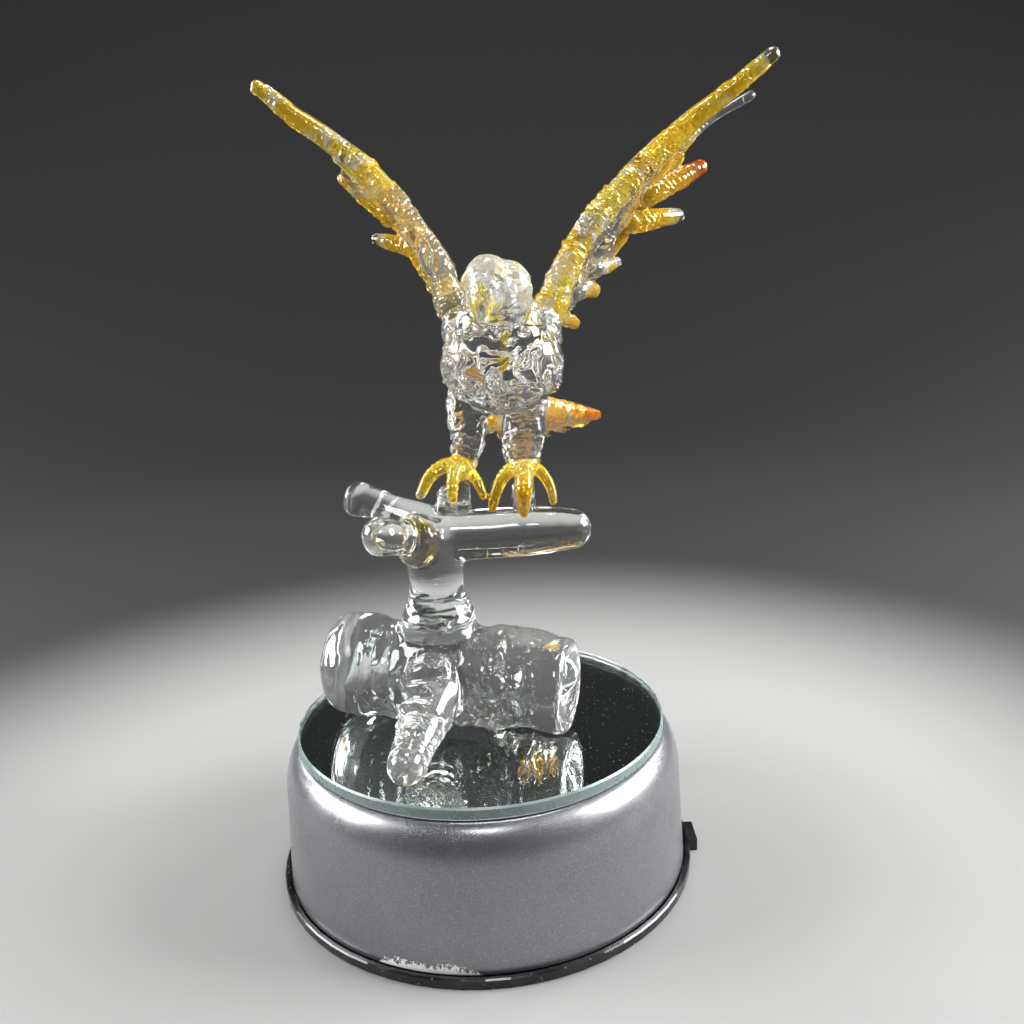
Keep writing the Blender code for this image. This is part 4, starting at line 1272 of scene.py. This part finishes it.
class EAGLE_OT_mirror(bpy.types.Operator):
    """Make the mirror: a glass plate with a ground edge, silvered underneath"""

    bl_idname = "eagle.mirror"
    bl_label = "Mirror plate"

    def execute(self, context):
        base = context.scene.eagle_base
        bevel = 0.0004
        gap = 0.00002
        low = MIRROR_LOW.z + base.silvering + gap
        high = MIRROR_HIGH.z
        profile = [
            (high, 0.0), (high, MIRROR_RADIUS * 0.5), (high, MIRROR_RADIUS - bevel),
            (high - bevel, MIRROR_RADIUS), (low + bevel, MIRROR_RADIUS),
            (low, MIRROR_RADIUS - bevel), (low, MIRROR_RADIUS * 0.5), (low, 0.0),
        ]
        plate = turned_piece("mirror_glass_plate", profile, base.sides)
        plate.data.materials.append(mirror_face_material())
        plate.data.materials.append(mirror_edge_material(base))
        for face in plate.data.polygons:
            rim = math.hypot(face.center.x, face.center.y) > MIRROR_RADIUS - bevel
            face.material_index = int(rim)
        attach(plate, TURNING_BODY)
        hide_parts("mirror_plate")

        inset = 0.0006
        backing_radius = MIRROR_RADIUS - inset
        low, high = MIRROR_LOW.z, MIRROR_LOW.z + base.silvering
        profile = [(high, 0.0), (high, backing_radius), (low, backing_radius), (low, 0.0)]
        backing = turned_piece("mirror_silvering", profile, base.sides)
        backing.data.materials.append(silvering_material())
        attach(backing, TURNING_BODY)
        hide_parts("mirror_plate")
        return {"FINISHED"}


def black_plastic_material():
    material, tree, shader = new_material("glossy_black_plastic")
    where = object_coordinates(tree)
    cloud = noise(tree, where, 120.0, detail=4.0)
    dust, _ = specks(tree, where, 1900.0, 0.05)
    color = mix_colors(tree, map_range(tree, cloud, 0.35, 0.7), (0.009, 0.009, 0.010), (0.018, 0.018, 0.019))
    color = mix_colors(tree, math_node(tree, "MULTIPLY", dust, 0.35), color, (0.4, 0.39, 0.37))
    tree.links.new(color, shader.inputs["Base Color"])
    tree.links.new(map_range(tree, cloud, 0.3, 0.75, 0.10, 0.28), shader.inputs["Roughness"])
    tree.links.new(bump(tree, cloud, 0.00005, 0.15), shader.inputs["Normal"])
    return material


class EAGLE_OT_tray(bpy.types.Operator):
    """Finish the black tray, its hub and its inlet block"""

    bl_idname = "eagle.tray"
    bl_label = "Black tray"

    def execute(self, context):
        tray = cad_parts["base_tray"]
        material = black_plastic_material()
        for slot in tray.material_slots:
            slot.material = material
        return {"FINISHED"}


def scattered_speck_tree():
    """Small flat specks strewn over faces."""
    tree, group_in, group_out = new_geometry_tree("strewn_specks", (
        ("Density", "NodeSocketFloat"), ("Seed", "NodeSocketInt"), ("Radius", "NodeSocketFloat"),
        ("Material", "NodeSocketMaterial")))
    strew = tree.nodes.new("GeometryNodeDistributePointsOnFaces")
    tree.links.new(group_in.outputs["Geometry"], strew.inputs["Mesh"])
    tree.links.new(group_in.outputs["Density"], strew.inputs["Density"])
    tree.links.new(group_in.outputs["Seed"], strew.inputs["Seed"])
    speck = tree.nodes.new("GeometryNodeMeshIcoSphere")
    speck.inputs["Subdivisions"].default_value = 1
    tree.links.new(group_in.outputs["Radius"], speck.inputs["Radius"])
    size = tree.nodes.new("FunctionNodeRandomValue")
    size.data_type = "FLOAT_VECTOR"
    size.inputs[0].default_value = (0.25, 0.25, 0.18)
    size.inputs[1].default_value = (1.0, 1.0, 0.35)
    tree.links.new(group_in.outputs["Seed"], size.inputs["Seed"])
    place = tree.nodes.new("GeometryNodeInstanceOnPoints")
    tree.links.new(strew.outputs["Points"], place.inputs["Points"])
    tree.links.new(speck.outputs["Mesh"], place.inputs["Instance"])
    tree.links.new(size.outputs[0], place.inputs["Scale"])
    finish_tree(tree, place.outputs["Instances"], group_in, group_out)
    return tree


def dust_material():
    material, tree, shader = new_material("grey_dust")
    where = object_coordinates(tree)
    cloud = noise(tree, where, 600.0)
    color = mix_colors(tree, cloud, (0.55, 0.54, 0.52), (0.82, 0.81, 0.78))
    tree.links.new(color, shader.inputs["Base Color"])
    shader.inputs["Roughness"].default_value = 0.9
    return material


class EAGLE_OT_dust(bpy.types.Operator):
    """Strew fine dust on the mirror"""

    bl_idname = "eagle.dust"
    bl_label = "Dust on the mirror"

    def execute(self, context):
        base = context.scene.eagle_base
        lift, reach, speck_radius, seed = 0.00002, MIRROR_RADIUS * 0.985, 0.00011, 3
        mesh_data = bmesh.new()
        bmesh.ops.create_circle(mesh_data, cap_ends=True, segments=64, radius=reach,
                                matrix=Matrix.Translation((0.0, 0.0, MIRROR_HIGH.z + lift)))
        area = add_object("dusty_area", as_mesh("dusty_area", mesh_data))
        strew = area.modifiers.new("strew", "NODES")
        strew.node_group = scattered_speck_tree()
        set_input(strew, "Density", base.dust)
        set_input(strew, "Seed", seed)
        set_input(strew, "Radius", speck_radius)
        set_input(strew, "Material", dust_material())
        dust = add_object("mirror_dust", evaluated_mesh(area))
        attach(dust, TURNING_BODY)
        return {"FINISHED"}


def add_area_light(name, place, aim, size, power):
    light = bpy.data.lights.new(name, "AREA")
    light.shape = "RECTANGLE"
    light.size, light.size_y = size
    light.energy = power
    lamp = add_object(name, light)
    lamp.location = place
    lamp.rotation_euler = (Vector(aim) - Vector(place)).to_track_quat("-Z", "Y").to_euler()
    lamp.visible_camera = False
    return lamp


def stage_material(stage):
    """Pale where the part stands, falling away to the dark backdrop."""
    material, tree, shader = new_material("pale_floor")
    where = object_coordinates(tree)
    away = shader_node(tree, "ShaderNodeVectorMath", Vector=where)
    away.operation = "LENGTH"
    fall = map_range(tree, away.outputs["Value"], stage.pale_radius, stage.dark_radius)
    color = mix_colors(tree, fall, tuple(stage.floor), tuple(stage.backdrop))
    tree.links.new(color, shader.inputs["Base Color"])
    shader.inputs["Roughness"].default_value = 0.85
    return material


class EAGLE_OT_stage(bpy.types.Operator):
    """Set the pale floor, the backdrop, the soft lights and the camera"""

    bl_idname = "eagle.stage"
    bl_label = "Stage, lights and camera"

    def execute(self, context):
        stage = context.scene.eagle_stage
        floor_radius, sweep, wall_top = 0.45, 0.35, 1.3
        sweep_steps, sides = 12, 96
        profile = [(0.0, 0.0), (0.0, 0.2), (0.0, floor_radius)]
        for i in range(1, sweep_steps + 1):
            angle = math.radians(90.0 * i / sweep_steps)
            profile.append((sweep * (1.0 - math.cos(angle)), floor_radius + sweep * math.sin(angle)))
        profile.append((wall_top, floor_radius + sweep))
        mesh_data = bmesh.new()
        turned(mesh_data, profile, sides)
        mesh = as_mesh("studio_floor", mesh_data)
        mesh.shade_smooth()
        floor = add_object("studio_floor", mesh)
        floor.data.materials.append(stage_material(stage))

        for name, place, size, share in LIGHTS:
            add_area_light(name, place, LIGHTS_AIM, size, stage.key_power * share)

        world = bpy.data.worlds.new("soft_studio")
        world.use_nodes = True
        world.node_tree.nodes["Background"].inputs["Color"].default_value = (0.03, 0.03, 0.032, 1.0)
        context.scene.world = world
        context.scene.view_settings.view_transform = "Standard"

        camera = bpy.data.cameras.new("photo_camera")
        camera.sensor_width = SENSOR
        camera.lens = SENSOR * FOCAL_PIXELS / PICTURE_PIXELS
        camera.clip_start = 0.01
        view = add_object("photo_camera", camera)
        forward = Vector((0.0, math.cos(PITCH), -math.sin(PITCH)))
        level = Vector((1.0, 0.0, 0.0))
        lift = level.cross(forward)
        right = level * math.cos(ROLL) + lift * math.sin(ROLL)
        up = -level * math.sin(ROLL) + lift * math.cos(ROLL)
        pose = Matrix((right, up, -forward)).transposed().to_4x4()
        pose.translation = TARGET - forward * DISTANCE
        view.matrix_world = pose
        context.scene.camera = view
        return {"FINISHED"}


class EAGLE_PT_parts(bpy.types.Panel):
    """Lists the pieces of the glass eagle"""

    bl_idname = "EAGLE_PT_parts"
    bl_label = "Glass Eagle"
    bl_space_type = "VIEW_3D"
    bl_region_type = "UI"
    bl_category = "Glass Eagle"

    def draw(self, context):
        scene = context.scene
        groups = (
            (scene.eagle_glass, (EAGLE_OT_figure,)),
            (scene.eagle_base, (EAGLE_OT_tray, EAGLE_OT_drum, EAGLE_OT_mirror, EAGLE_OT_dust)),
            (scene.eagle_stage, (EAGLE_OT_stage,)),
        )
        for settings, operators in groups:
            box = self.layout.box()
            for name in settings.bl_rna.properties.keys():
                if name not in ("rna_type", "name"):
                    box.prop(settings, name)
            for operator in operators:
                box.operator(operator.bl_idname)


SETTINGS = (("eagle_glass", GlassSettings), ("eagle_base", BaseSettings), ("eagle_stage", StageSettings))
OPERATORS = (EAGLE_OT_stage, EAGLE_OT_tray, EAGLE_OT_drum, EAGLE_OT_mirror, EAGLE_OT_dust, EAGLE_OT_figure)


def register():
    for name, settings in SETTINGS:
        bpy.utils.register_class(settings)
        setattr(bpy.types.Scene, name, PointerProperty(type=settings))
    for operator in OPERATORS:
        bpy.utils.register_class(operator)
    bpy.utils.register_class(EAGLE_PT_parts)


def unregister():
    bpy.utils.unregister_class(EAGLE_PT_parts)
    for operator in reversed(OPERATORS):
        bpy.utils.unregister_class(operator)
    for name, settings in reversed(SETTINGS):
        delattr(bpy.types.Scene, name)
        bpy.utils.unregister_class(settings)


def main():
    register()
    bpy.ops.eagle.stage()
    bpy.ops.eagle.tray()
    bpy.ops.eagle.drum()
    bpy.ops.eagle.mirror()
    bpy.ops.eagle.dust()
    bpy.ops.eagle.figure()


if __name__ == "__main__":
    main()
